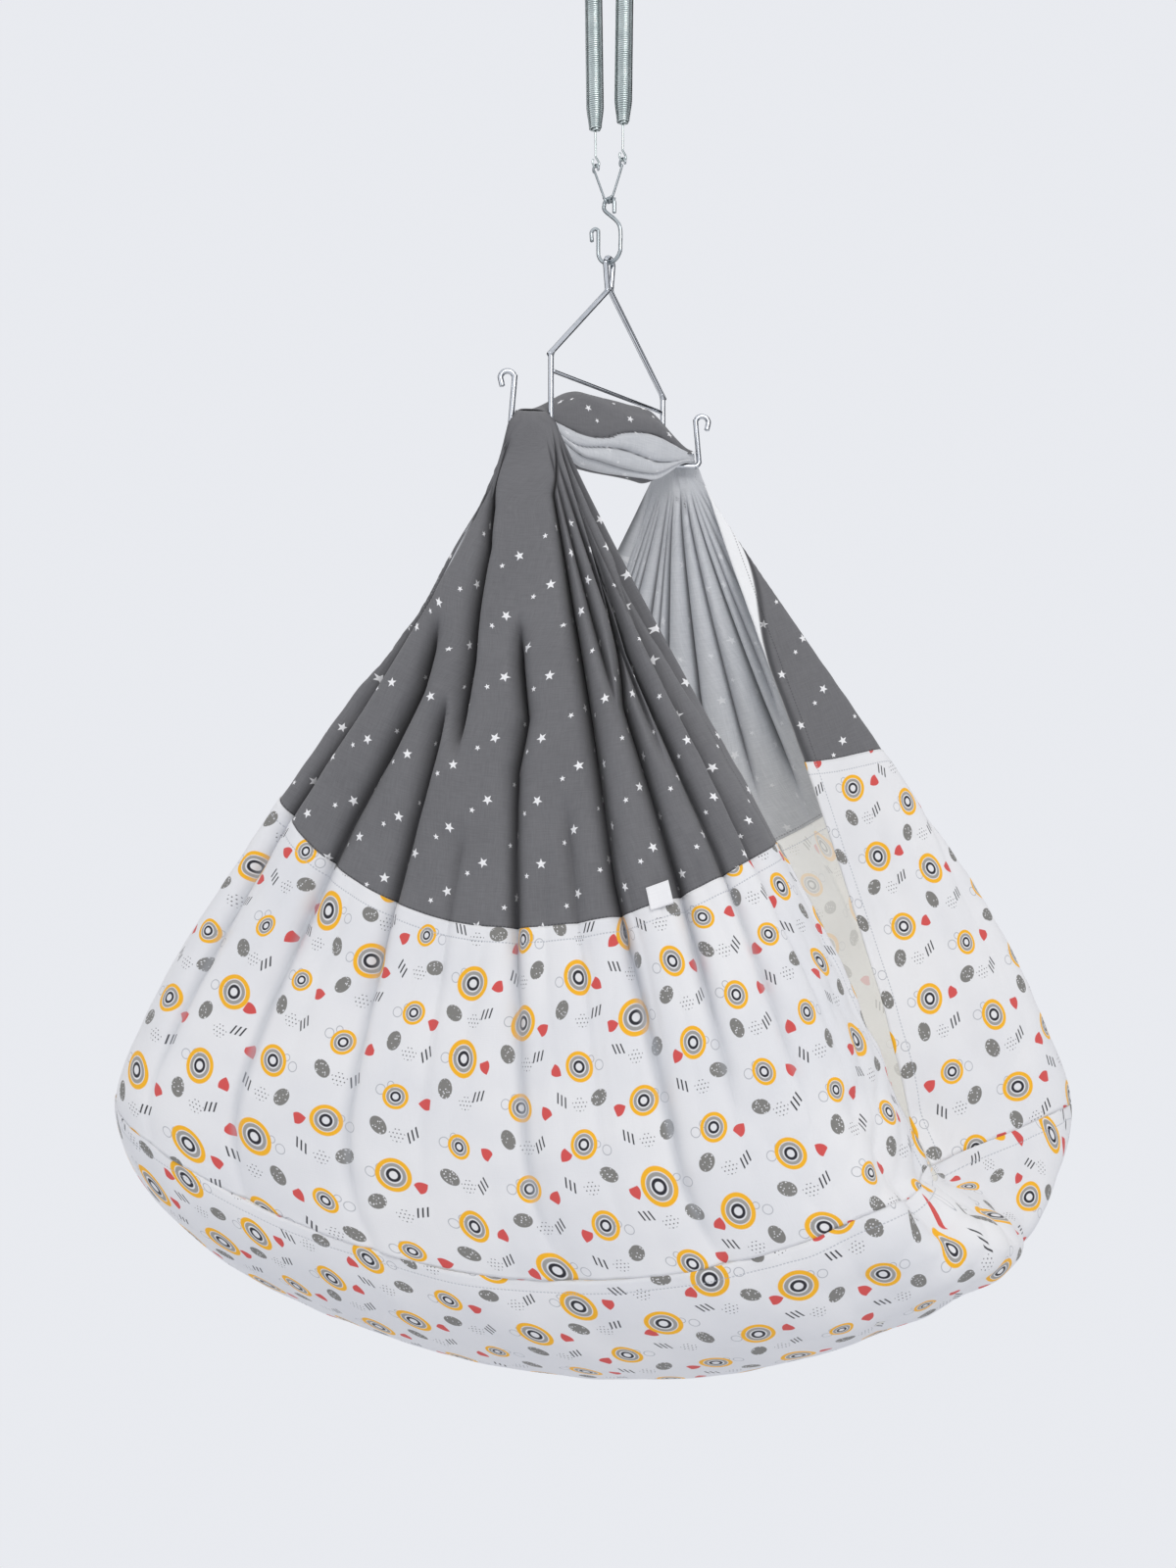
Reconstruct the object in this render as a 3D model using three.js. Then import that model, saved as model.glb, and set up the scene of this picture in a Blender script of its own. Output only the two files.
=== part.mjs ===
import * as THREE from "three";

// Hanging baby cradle: a loop of cloth gathered on a bent-wire hanger that bounces on two springs.
// Millimetres, +Z up. The origin is where a ceiling hook carries the upper S-hook.
// X runs along the bed, Y across it, and the near side of the bed is -Y.

const clearance = 0.3;
const up = new THREE.Vector3(0, 0, 1);
const quarter = Math.PI / 2;

// S-hooks, zinc-plated wire
const sWire = 4;
const sSeatRadius = 13.6;
const sSmallRadius = 6.2;
const sHeight = 68;
const sTail = 11;
const sCurlRadius = 4.3;
const sCurlRise = 21;
const sCurlTip = 9;
const sNeckShare = 0.8;
const sBellyShare = 0.9;
const sTipShare = 0.8;
const sSides = 8;
const sSteps = 64;

// Wire links between the S-hooks and the springs
const linkWire = 2.4;
const linkSpan = 38;
const linkEyeRadius = 4.3;
const linkRingGap = 0.6;
const linkSplay = THREE.MathUtils.degToRad(35);
const linkRingStart = THREE.MathUtils.degToRad(45);
const linkRingEnd = THREE.MathUtils.degToRad(337.5);
const linkEyeStart = THREE.MathUtils.degToRad(-162);
const linkEyeEnd = THREE.MathUtils.degToRad(135);
const linkSides = 6;
const linkSteps = 44;

// Extension springs
const springWire = 2.2;
const springCoilRadius = 8.2;
const springEyeRadius = 4.4;
const springLength = 349;
const springNeck = 15;
const springTopOffset = 22;
const springBottomOffset = 16.5;
const springCurls = 18;
const springSides = 5;
const curlSteps = 8;
const eyeTurn = THREE.MathUtils.degToRad(55);
const springEyeStart = THREE.MathUtils.degToRad(130.5);
const springEyeEnd = THREE.MathUtils.degToRad(396);

// Bent-wire hanger and its crossbar
const hangerWire = 5.6;
const hangerTurn = THREE.MathUtils.degToRad(-17.9);
const hangerLoopRadius = 6.9;
const hangerLoopHeight = 35;
const hangerHalfSpan = 106;
const hangerShoulderDrop = 123;
const hangerArmDrop = 198;
const hangerBend = 6;
const hangerShoulderBend = 12;
const armLength = 40;
const armTurn = THREE.MathUtils.degToRad(23.6);
const hookRise = 48;
const hookLean = 4;
const hookCurlRadius = 7;
const hookTip = 9;
const hookTipShare = 0.7;
const hangerSides = 8;
const hangerSteps = 150;
const crossbarWire = 4;
const crossbarDrop = 140.6;

// Cloth loop: its threads run from the gathers on the arms down to the keel of the bed
const clothThickness = 2.6;
const gatherThickness = 14;
const gatherShare = 0.72;
const bedHalfLength = 457;
const bedHalfWidth = 208;
const bedDepth = 937;
const bedSkewShare = 0.03;
const keelHalfLength = 425;
const greyLength = 510;
const rimLength = 690;
const turnInShare = 0.7;
const turnDownShare = 0.3;
const underStartShare = 1.2;
const underEndShare = 1.5;
const seamGap = 0.8;
const hemMargin = 10;
const foldCount = 7;
const foldDepth = 17;
const foldWidthShare = 0.32;
const foldRiseEnd = 112;
const foldFadeStart = 380;
const foldFadeEnd = 640;
const saddleSteps = 6;
const wallSteps = 24;
const underSteps = 16;
const clothRows = 28;
const greyColumns = 9;
const greyColumnPower = 1.25;
const saddleColumns = 3;
const printColumns = 5;
const baseColumns = 6;

// Bridge of cloth between the two gathers
const bridgeHalfWidth = 23;
const bridgeTopRise = 50;
const bridgeUndersideDrop = 34;
const bridgeRolls = 3;
const bridgeRollDepth = 3;
const bridgeTwist = 2;
const bridgeSquareShare = 0.45;
const bridgeFlareShares = [0.35, 0.97];
const bridgeSides = 14;
const bridgeStations = 12;

// Sleeping pad and side tag
const padThickness = 34;
const padLift = 1.2;
const padWidthShare = 0.58;
const padEdgeShare = 0.2;
const padEdgePower = 6;
const padRows = clothRows / 2;
const padColumns = 8;
const tagSize = 22;
const tagThickness = 1.4;
const tagFoldShare = 2 / foldCount;
const tagTurnShare = 3 / foldCount;

// Heights, from the origin down
const upperSmallTop = sWire / 2 - sHeight;
const ringDrop = sSmallRadius * (1 - Math.cos(linkSplay));
const upperRingHeight = upperSmallTop + ringDrop;
const ringOffset = sSmallRadius * Math.sin(linkSplay);
const upperLinkDrop = Math.sqrt(linkSpan ** 2 - (springTopOffset - ringOffset) ** 2);
const lowerLinkDrop = Math.sqrt(linkSpan ** 2 - (springBottomOffset - ringOffset) ** 2);
const hookOverlap = linkEyeRadius - (linkWire + springWire) / 2 - clearance;
const springTop = upperRingHeight - upperLinkDrop - hookOverlap;
const springLean = Math.asin((springTopOffset - springBottomOffset) / springLength);
const springBottom = springTop - springLength * Math.cos(springLean);
const lowerRingHeight = springBottom - hookOverlap - lowerLinkDrop;
const lowerSmallTop = lowerRingHeight + ringDrop;
const lowerSeat = lowerSmallTop - sHeight;
const hangerTop = lowerSeat + (sWire + hangerWire) / 2 + clearance;
const armHeight = hangerTop - hangerArmDrop;
const crossbarHeight = hangerTop - crossbarDrop;
const saddleRadius = hangerWire / 2 + clearance + gatherThickness / 2;
const saddleLength = (saddleRadius * Math.PI) / 2;

// The hanger's plane holds direction across; the S-hooks lie in the plane of direction along
const across = new THREE.Vector3(0, 1, 0).applyAxisAngle(up, hangerTurn);
const along = new THREE.Vector3(1, 0, 0).applyAxisAngle(up, hangerTurn);
const armDirection = new THREE.Vector3(-1, 0, 0).applyAxisAngle(up, armTurn);

/** A point at a distance along a horizontal direction, at a height. */
function placed(direction, distance, height) {
  return direction.clone().multiplyScalar(distance).setZ(height);
}

/** Points on an arc about a centre, from angle a to angle b, in the plane of two unit vectors. */
function arcPoints(centre, first, second, radius, a, b, count) {
  const points = [];
  for (let i = 0; i <= count; i += 1) {
    const angle = a + ((b - a) * i) / count;
    const point = centre.clone();
    point.addScaledVector(first, radius * Math.cos(angle));
    point.addScaledVector(second, radius * Math.sin(angle));
    points.push(point);
  }
  return points;
}

/** A path with one ring of the wire at each of its points. */
class PointPath extends THREE.Curve {
  constructor(points) {
    super();
    this.points = points;
  }

  getPoint(u, target = new THREE.Vector3()) {
    return target.copy(this.points[Math.round(u * (this.points.length - 1))]);
  }

  getPointAt(u, target) {
    return this.getPoint(u, target);
  }

  getTangentAt(u, target = new THREE.Vector3()) {
    const last = this.points.length - 1;
    const i = Math.round(u * last);
    const ahead = this.points[Math.min(i + 1, last)];
    return target.copy(ahead).sub(this.points[Math.max(i - 1, 0)]).normalize();
  }
}

/** A round wire with a ring at each point. */
function wireThrough(points, diameter, sides) {
  const outline = new THREE.Shape();
  const corners = [];
  for (let i = 0; i < sides; i += 1) {
    const angle = (i / sides) * Math.PI * 2;
    corners.push(new THREE.Vector2(Math.cos(angle), Math.sin(angle)).multiplyScalar(diameter / 2));
  }
  outline.setFromPoints(corners);
  const extrudePath = new PointPath(points);
  return new THREE.ExtrudeGeometry(outline, { steps: points.length - 1, extrudePath, bevelEnabled: false });
}

/** A round wire with evenly spaced rings along a smooth curve through points. */
function wireAlong(points, diameter, sides, steps) {
  const curve = new THREE.CatmullRomCurve3(points, false, "centripetal");
  curve.arcLengthDivisions = points.length * steps;
  return wireThrough(curve.getSpacedPoints(steps), diameter, sides);
}

/** Rounds the corner of a wire at its middle point with a bend of the given radius. */
function bend(before, corner, after, radius) {
  const back = before.clone().sub(corner).normalize();
  const ahead = after.clone().sub(corner).normalize();
  const half = back.angleTo(ahead) / 2;
  const reach = radius / Math.tan(half);
  const middle = back.clone().add(ahead).normalize();
  const centre = corner.clone().addScaledVector(middle, radius / Math.sin(half));
  const nearest = centre.clone().addScaledVector(middle, -radius);
  return [corner.clone().addScaledVector(back, reach), nearest, corner.clone().addScaledVector(ahead, reach)];
}

/** S-hook: a small closed hook, a slanting shank and a wide hook with an outward curl. */
function sHookGeometry() {
  const rise = sHeight - sSeatRadius - sSmallRadius;
  const small = placed(along, 0, rise);
  const seat = placed(along, 0, 0);
  const curl = placed(along, -sSeatRadius - sCurlRadius, sCurlRise);
  const points = [
    placed(along, sSmallRadius, rise - sTail),
    ...arcPoints(small, along, up, sSmallRadius, 0, 2 * quarter, 8),
    placed(along, -sSmallRadius * sNeckShare, rise - sSmallRadius),
    placed(along, sSeatRadius * sBellyShare, rise / 2),
    ...arcPoints(seat, along, up, sSeatRadius, 0, -2 * quarter, 10),
    ...arcPoints(curl, along, up, sCurlRadius, 0, 2 * quarter, 6),
    curl.clone().addScaledVector(along, -sCurlRadius * sTipShare).setZ(sCurlRise - sCurlTip),
  ];
  return wireAlong(points, sWire, sSides, sSteps);
}

/** Link: a ring round the S-hook's small bend, a shank, and an eye for the spring's hook. */
function linkGeometry(side, offset, drop, sense) {
  const radial = placed(along, side * Math.sin(linkSplay), sense * Math.cos(linkSplay));
  const ringCentre = placed(along, side * ringOffset, 0);
  const eyeCentre = placed(along, side * offset, sense * drop);
  const upright = new THREE.Vector3(0, 0, sense);
  const ringRadius = (sWire + linkWire) / 2 + linkRingGap;
  const turn = new THREE.Vector3(1, 0, 0).applyAxisAngle(up, eyeTurn - quarter);
  const ring = arcPoints(ringCentre, radial, across, ringRadius, linkRingStart, linkRingEnd, 14);
  const eye = arcPoints(eyeCentre, upright, turn, linkEyeRadius, linkEyeStart, linkEyeEnd, 14);
  return wireAlong([...ring, ...eye], linkWire, linkSides, linkSteps);
}

/** Least gap of a wire to itself: distances of its points, leaving out its own next stretch. */
function leastGap(points, diameter) {
  const skip = curlSteps - 1;
  let least = Infinity;
  for (let i = 0; i < points.length; i += 1) {
    for (let j = i + skip; j < points.length; j += 1) {
      least = Math.min(least, points[i].distanceTo(points[j]) - diameter);
    }
  }
  return least;
}

/** One end of a spring: an eye and its neck, in its own plane, from the tip to the coil. */
function springEnd() {
  const side = new THREE.Vector3(1, 0, 0).applyAxisAngle(up, eyeTurn);
  const centre = new THREE.Vector3(0, 0, springEyeRadius);
  const eye = arcPoints(centre, side, up, springEyeRadius, springEyeStart, springEyeEnd, curlSteps * 2);
  const neckStart = new THREE.Vector3(0, 0, springEyeRadius * 2 + springWire);
  const neckEnd = new THREE.Vector3(0, 0, springEyeRadius * 2 + springNeck / 2);
  return [...eye, neckStart, neckEnd];
}

/** Extension spring: eye, neck, tapering coil and eye again, as one wire. */
function springPoints(side) {
  const first = springEnd();
  const coilStart = springEyeRadius * 2 + springNeck;
  const coilLength = springLength - coilStart * 2;
  const coil = [];
  const count = springCurls * curlSteps;
  for (let i = 0; i <= count; i += 1) {
    const share = i / count;
    const angle = share * springCurls * Math.PI * 2;
    const taper = Math.min(1, (i + 1) / curlSteps, (count - i + 1) / curlSteps);
    const radius = springCoilRadius * Math.sqrt(taper);
    const height = coilStart + share * coilLength;
    coil.push(new THREE.Vector3(radius * Math.cos(angle), radius * Math.sin(angle), height));
  }
  const last = springEnd().map((p) => new THREE.Vector3(-p.x, -p.y, springLength - p.z)).reverse();
  const lean = new THREE.Quaternion().setFromAxisAngle(across, side * springLean);
  return [...first, ...coil, ...last].map((p) => p.applyQuaternion(lean));
}

/** Half of the hanger wire, from the tip of one end hook to the top of the loop. */
function hangerHalf() {
  const loopCentre = placed(across, 0, hangerTop - hangerLoopRadius);
  const loop = arcPoints(loopCentre, across, up, hangerLoopRadius, 2 * quarter, quarter, 6);
  const apex = placed(across, -hangerWire / 2 - clearance, hangerTop - hangerLoopHeight);
  const shoulder = placed(across, -hangerHalfSpan, hangerTop - hangerShoulderDrop);
  const foot = placed(across, -hangerHalfSpan, armHeight);
  const armEnd = foot.clone().addScaledVector(armDirection, armLength);
  const shaftTop = armEnd.clone().addScaledVector(armDirection, -hookLean);
  shaftTop.z += hookRise;
  const curlCentre = shaftTop.clone().addScaledVector(armDirection, hookCurlRadius);
  const curl = arcPoints(curlCentre, armDirection, up, hookCurlRadius, 0, 2 * quarter, 8);
  const tip = curlCentre.clone().addScaledVector(armDirection, hookCurlRadius * hookTipShare);
  tip.z -= hookTip;
  return [
    tip,
    ...curl,
    ...bend(shaftTop, armEnd, foot, hangerBend),
    ...bend(armEnd, foot, shoulder, hangerBend),
    ...bend(foot, shoulder, apex, hangerShoulderBend),
    ...bend(shoulder, apex, loop[0], hangerBend),
    ...loop,
  ];
}

/** The whole hanger: one half and the same half turned half a turn about the plumb line. */
function hangerGeometry() {
  const half = hangerHalf();
  const other = half.slice(0, -1).map((p) => new THREE.Vector3(-p.x, -p.y, p.z)).reverse();
  return wireAlong([...half, ...other], hangerWire, hangerSides, hangerSteps);
}

/** Crossbar: a straight rod welded between the legs of the hanger. */
function crossbarGeometry() {
  const reach = hangerHalfSpan - hangerWire / 2 - clearance;
  const ends = [placed(across, -reach, crossbarHeight), placed(across, reach, crossbarHeight)];
  return wireAlong(ends, crossbarWire, hangerSides, 2);
}

/** Smooth value at s, from -1 to 1, of a table whose entries stand at equal steps of s. */
function tableAt(shares, s) {
  const place = ((s + 1) / 2) * (shares.length - 1);
  const i = Math.min(Math.max(Math.floor(place), 0), shares.length - 2);
  const f = place - i;
  const a = shares[Math.max(i - 1, 0)];
  const b = shares[i];
  const c = shares[i + 1];
  const d = shares[Math.min(i + 2, shares.length - 1)];
  return b + (f * (c - a + f * (2 * a - 5 * b + 4 * c - d + f * (3 * (b - c) + d - a)))) / 2;
}

/** A table of one half of the bed, carried on to the other with the same or the opposite sign. */
function mirrored(shares, sign) {
  const other = shares.slice(1).map((value) => sign * value).reverse();
  return [...other, ...shares];
}

// Each wall from its left hem to its right hem, as seen from outside. The rim is told in shares of
// the bed's half sizes and depth, the seam in shares of the length of the grey cloth, the seam of the
// base in shares of the whole thread, and the bow is how steeply a thread leaves the gather.
const nearWall = {
  turn: 1,
  rimLengthShares: [-0.68, -0.99, -0.9, -0.6, -0.26, 0.07, 0.37, 0.61, 0.705],
  rimWidthShares: [0, -0.5, -0.94, -1, -1, -0.97, -0.9, -0.7, -0.18],
  rimDepthShares: [0.728, 0.68, 0.664, 0.685, 0.7065, 0.717, 0.7225, 0.733, 0.757],
  bowShares: [0.22, 0.22, 0.18, 0.08, 0, 0, 0.03, 0.08, 0.13],
  seamShares: [0.88, 0.865, 0.9, 0.96, 1, 1, 0.985, 0.96, 0.94],
  baseSeamShares: [0.959, 0.794, 0.714, 0.733, 0.754, 0.767, 0.781, 0.811, 0.972],
};
const farWall = {
  turn: -1,
  rimLengthShares: [-0.68, -0.99, -0.875, -0.56, -0.22, 0.1, 0.38, 0.61, 0.705],
  rimWidthShares: nearWall.rimWidthShares,
  rimDepthShares: nearWall.rimDepthShares,
  bowShares: [0, 0, 0, 0, 0, 0, 0.03, 0.07, 0.1],
  seamShares: [0.73, 0.76, 0.79, 0.83, 0.87, 0.91, 0.94, 0.95, 0.94],
  baseSeamShares: [0.965, 0.807, 0.73, 0.745, 0.761, 0.769, 0.779, 0.801, 0.964],
};

// Keel from the middle of the bed to the hem, as shares of the keel's half length and the depth
const keelLengthShares = mirrored([0, 0.39, 0.73, 0.99, 0.79], -1);
const keelWidthShares = mirrored([0, -0.01, -0.03, -0.07, -0.14], -1);
const keelDepthShares = mirrored([1, 0.979, 0.924, 0.843, 0.783], 1);

/** Point of the near gather's mid-surface over the arm, where a thread starts. */
function gatherPoint(s) {
  const foot = placed(across, -hangerHalfSpan, armHeight);
  const share = 0.5 - (s * gatherShare) / 2;
  return foot.addScaledVector(armDirection, armLength * share);
}

/** Cubic from a to b with the given tangents. */
function hermite(a, b, startTangent, endTangent, f) {
  const f2 = f * f;
  const f3 = f2 * f;
  const point = a.clone().multiplyScalar(2 * f3 - 3 * f2 + 1);
  point.addScaledVector(startTangent, f3 - 2 * f2 + f);
  point.addScaledVector(b, 3 * f2 - 2 * f3);
  point.addScaledVector(endTangent, f3 - f2);
  return point;
}

/** Thread of a wall at s, as on the near side: over the arm, down the wall and under to the keel. */
function threadPoints(wall, s) {
  const outward = new THREE.Vector3(-armDirection.y, armDirection.x, 0);
  const saddle = arcPoints(gatherPoint(s), outward, up, saddleRadius, quarter, 0, saddleSteps);
  const start = saddle[saddle.length - 1];
  const rim = new THREE.Vector3(
    bedHalfLength * tableAt(wall.rimLengthShares, s),
    bedHalfWidth * tableAt(wall.rimWidthShares, s),
    armHeight - bedDepth * tableAt(wall.rimDepthShares, s),
  );
  const keel = new THREE.Vector3(
    keelHalfLength * tableAt(keelLengthShares, s),
    bedHalfWidth * tableAt(keelWidthShares, s),
    armHeight - bedDepth * tableAt(keelDepthShares, s),
  );
  const straight = rim.clone().sub(start);
  const fall = straight.length();
  const level = keel.distanceTo(rim);
  const bow = tableAt(wall.bowShares, s);
  const leave = straight.clone().multiplyScalar(1 - bow).addScaledVector(up, -fall * bow);
  const turnIn = straight.clone().multiplyScalar(turnInShare / fall);
  turnIn.addScaledVector(up, -turnDownShare).normalize();
  const atRim = turnIn.clone().multiplyScalar(fall);
  const underStart = turnIn.clone().multiplyScalar(level * underStartShare);
  const underEnd = new THREE.Vector3(0, level * underEndShare, 0);
  const points = [...saddle];
  for (let i = 1; i <= wallSteps; i += 1) {
    points.push(hermite(start, rim, leave, atRim, i / wallSteps));
  }
  for (let i = 1; i <= underSteps; i += 1) {
    points.push(hermite(rim, keel, underStart, underEnd, i / underSteps));
  }
  return points;
}

/** Distances along a list of points. */
function distances(points) {
  const lengths = [0];
  for (let i = 1; i < points.length; i += 1) {
    lengths.push(lengths[i - 1] + points[i].distanceTo(points[i - 1]));
  }
  return lengths;
}

const threads = new Map();

/** The thread of a wall at s and its lengths, kept because neighbouring panels share them. */
function threadAt(wall, s) {
  const key = `${wall.turn} ${s.toFixed(6)}`;
  if (!threads.has(key)) {
    const points = threadPoints(wall, s);
    threads.set(key, { points, lengths: distances(points) });
  }
  return threads.get(key);
}

/** Length of the thread of a wall at s, from the top of the arm to the keel. */
function threadLength(wall, s) {
  const { lengths } = threadAt(wall, s);
  return lengths[lengths.length - 1];
}

/** Point of a smooth wall at a length along its thread; the far wall is turned half a turn. */
function wallPoint(wall, s, length) {
  const { points, lengths } = threadAt(wall, s);
  let i = 1;
  while (i < lengths.length - 1 && lengths[i] < length) {
    i += 1;
  }
  const f = (length - lengths[i - 1]) / (lengths[i] - lengths[i - 1]);
  const point = points[i - 1].clone().lerp(points[i], f);
  point.x *= wall.turn;
  point.y *= wall.turn;
  point.x *= 1 - (bedSkewShare * point.x) / bedHalfLength;
  return point;
}

/** Length from the gather to the seam of the grey and the printed cloth. */
function seamLength(wall, s) {
  return greyLength * tableAt(wall.seamShares, s);
}

/** Length from the gather to the seam of the base. */
function baseSeamLength(wall, s) {
  const whole = threadLength(wall, s);
  return Math.min(whole * tableAt(wall.baseSeamShares, s), whole - hemMargin);
}

/** Width over which the cloth is spread at a length from the gather. */
function spreadWidth(length) {
  const whole = bedHalfLength * 2 + bedHalfWidth;
  return armLength * gatherShare + (whole * length) / rimLength;
}

/** Thickness of the gathered cloth, which thins as the threads fan out. */
function clothDepth(length) {
  return Math.max(clothThickness, (gatherThickness * armLength * gatherShare) / spreadWidth(length));
}

/** Height of the main folds over the smooth wall. */
function foldHeight(s, length) {
  const crest = Math.cos(foldCount * Math.PI * (s + 1));
  const depth = Math.min(foldDepth, (foldWidthShare * spreadWidth(length)) / foldCount / 2);
  const fade = THREE.MathUtils.smoothstep(length, foldFadeStart, foldFadeEnd);
  const rise = THREE.MathUtils.smoothstep(length, gatherThickness, foldRiseEnd);
  return crest * depth * (1 - fade) * rise;
}

/** Grid of points of a panel: rows from hem to hem, columns along the thread. */
function panelGrid(rows, columns, pointAt) {
  const grid = [];
  for (let i = 0; i <= rows; i += 1) {
    const line = [];
    for (let j = 0; j <= columns; j += 1) {
      line.push(pointAt(i, j));
    }
    grid.push(line);
  }
  return grid;
}

/** Slope of a line of points at place k, from three points also at its ends. */
function slopeAt(line, k) {
  const last = line.length - 1;
  const inner = Math.min(Math.max(k, 1), last - 1);
  const slope = line[inner + 1].clone().sub(line[inner - 1]);
  const curl = line[inner + 1].clone().add(line[inner - 1]).addScaledVector(line[inner], -2);
  return slope.addScaledVector(curl, 2 * (k - inner));
}

/** Normals of a grid, square to its slopes both ways. */
function gridNormals(grid) {
  return grid.map((line, i) => line.map((point, j) => {
    const ahead = slopeAt(grid.map((other) => other[j]), i);
    return ahead.cross(slopeAt(line, j)).normalize();
  }));
}

/** Moves each grid point along its normal by a height. */
function offsetGrid(grid, normals, heightAt) {
  return grid.map((line, i) => line.map((point, j) => {
    return point.clone().addScaledVector(normals[i][j], heightAt(i, j));
  }));
}

/** One closed body between two grids of the same size. */
function shellGeometry(front, back) {
  const rows = front.length;
  const columns = front[0].length;
  const positions = [...front.flat(), ...back.flat()].flatMap((p) => [p.x, p.y, p.z]);
  const at = (side, i, j) => (side * rows + i) * columns + j;
  const faces = [];
  const quad = (a, b, c, d) => faces.push(a, b, c, a, c, d);
  for (let i = 0; i < rows - 1; i += 1) {
    for (let j = 0; j < columns - 1; j += 1) {
      quad(at(0, i, j), at(0, i + 1, j), at(0, i + 1, j + 1), at(0, i, j + 1));
      quad(at(1, i, j), at(1, i, j + 1), at(1, i + 1, j + 1), at(1, i + 1, j));
    }
  }
  const last = columns - 1;
  for (let i = 0; i < rows - 1; i += 1) {
    quad(at(0, i, 0), at(1, i, 0), at(1, i + 1, 0), at(0, i + 1, 0));
    quad(at(0, i, last), at(0, i + 1, last), at(1, i + 1, last), at(1, i, last));
  }
  for (let j = 0; j < last; j += 1) {
    quad(at(0, 0, j), at(0, 0, j + 1), at(1, 0, j + 1), at(1, 0, j));
    quad(at(0, rows - 1, j), at(1, rows - 1, j), at(1, rows - 1, j + 1), at(0, rows - 1, j + 1));
  }
  const geometry = new THREE.BufferGeometry();
  geometry.setAttribute("position", new THREE.Float32BufferAttribute(positions, 3));
  geometry.setIndex(faces);
  geometry.computeVertexNormals();
  return geometry;
}

/** Place from hem to hem, -1 to 1, of a row of the cloth. */
function rowShare(i) {
  return (2 * i) / clothRows - 1;
}

/** Length along a thread at column j of an upper panel: first over the arm, then down the wall. */
function greyLengthAt(wall, s, j) {
  if (j <= saddleColumns) {
    return (saddleLength * j) / saddleColumns;
  }
  const share = (j - saddleColumns) / (greyColumns - saddleColumns);
  return saddleLength + (seamLength(wall, s) - saddleLength) * share ** greyColumnPower;
}

/** Length along a thread at column j of a lower panel, between the two seams. */
function printLengthAt(wall, s, j) {
  const begin = seamLength(wall, s) + seamGap;
  return begin + ((baseSeamLength(wall, s) - begin) * j) / printColumns;
}

/** A cloth panel of one wall: lengthAt gives the place of each column along the thread. */
function wallPanel(wall, lengthAt, columns) {
  const lengths = panelGrid(clothRows, columns, (i, j) => lengthAt(wall, rowShare(i), j));
  const grid = panelGrid(clothRows, columns, (i, j) => wallPoint(wall, rowShare(i), lengths[i][j]));
  const folded = offsetGrid(grid, gridNormals(grid), (i, j) => foldHeight(rowShare(i), lengths[i][j]));
  const normals = gridNormals(folded);
  const front = offsetGrid(folded, normals, (i, j) => clothDepth(lengths[i][j]) / 2);
  const back = offsetGrid(folded, normals, (i, j) => -clothDepth(lengths[i][j]) / 2);
  return shellGeometry(front, back);
}

/** Point of the bed's base at s, a share f of the way from the near seam to the far seam. */
function basePoint(s, f) {
  const nearStart = baseSeamLength(nearWall, s) + seamGap;
  const farStart = baseSeamLength(farWall, -s) + seamGap;
  const nearRun = threadLength(nearWall, s) - nearStart;
  const farRun = threadLength(farWall, -s) - farStart;
  const walked = f * (nearRun + farRun);
  if (walked < nearRun) {
    return wallPoint(nearWall, s, nearStart + walked);
  }
  return wallPoint(farWall, -s, farStart + nearRun + farRun - walked);
}

const baseGrid = panelGrid(clothRows, baseColumns, (i, j) => basePoint(rowShare(i), j / baseColumns));

/** Base panel under the sleeping pad. */
function baseGeometry() {
  const normals = gridNormals(baseGrid);
  const front = offsetGrid(baseGrid, normals, () => clothThickness / 2);
  const back = offsetGrid(baseGrid, normals, () => -clothThickness / 2);
  return shellGeometry(front, back);
}

/** Point on the base's own grid at row i, a share f of the way across it. */
function onBase(i, f) {
  const place = f * baseColumns;
  const j = Math.min(Math.floor(place), baseColumns - 1);
  return baseGrid[i][j].clone().lerp(baseGrid[i][j + 1], place - j);
}

/** Sleeping pad: it lies on the base, crowned on top and drawn in at its sides. */
function padGeometry() {
  const firstRow = (clothRows - padRows) / 2;
  const acrossBase = (j) => ((2 * j) / padColumns - 1) * (padWidthShare / 2) + 1 / 2;
  const grid = panelGrid(padRows, padColumns, (i, j) => onBase(firstRow + i, acrossBase(j)));
  const normals = gridNormals(grid);
  const floorRise = clothThickness / 2 + clearance + padLift;
  const drawnIn = (k, count) => Math.sqrt(Math.max(0, 1 - ((2 * k) / count - 1) ** padEdgePower));
  const crown = (i, j) => {
    const edge = drawnIn(i, padRows) * drawnIn(j, padColumns);
    return floorRise + padThickness * (padEdgeShare + (1 - padEdgeShare) * edge);
  };
  const top = offsetGrid(grid, normals, crown);
  const underside = offsetGrid(grid, normals, () => floorRise);
  return shellGeometry(top, underside);
}

/** Cosine or sine value drawn out towards 1, which turns a circle into a rounded square. */
function squared(value, power) {
  return Math.sign(value) * Math.abs(value) ** power;
}

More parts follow.
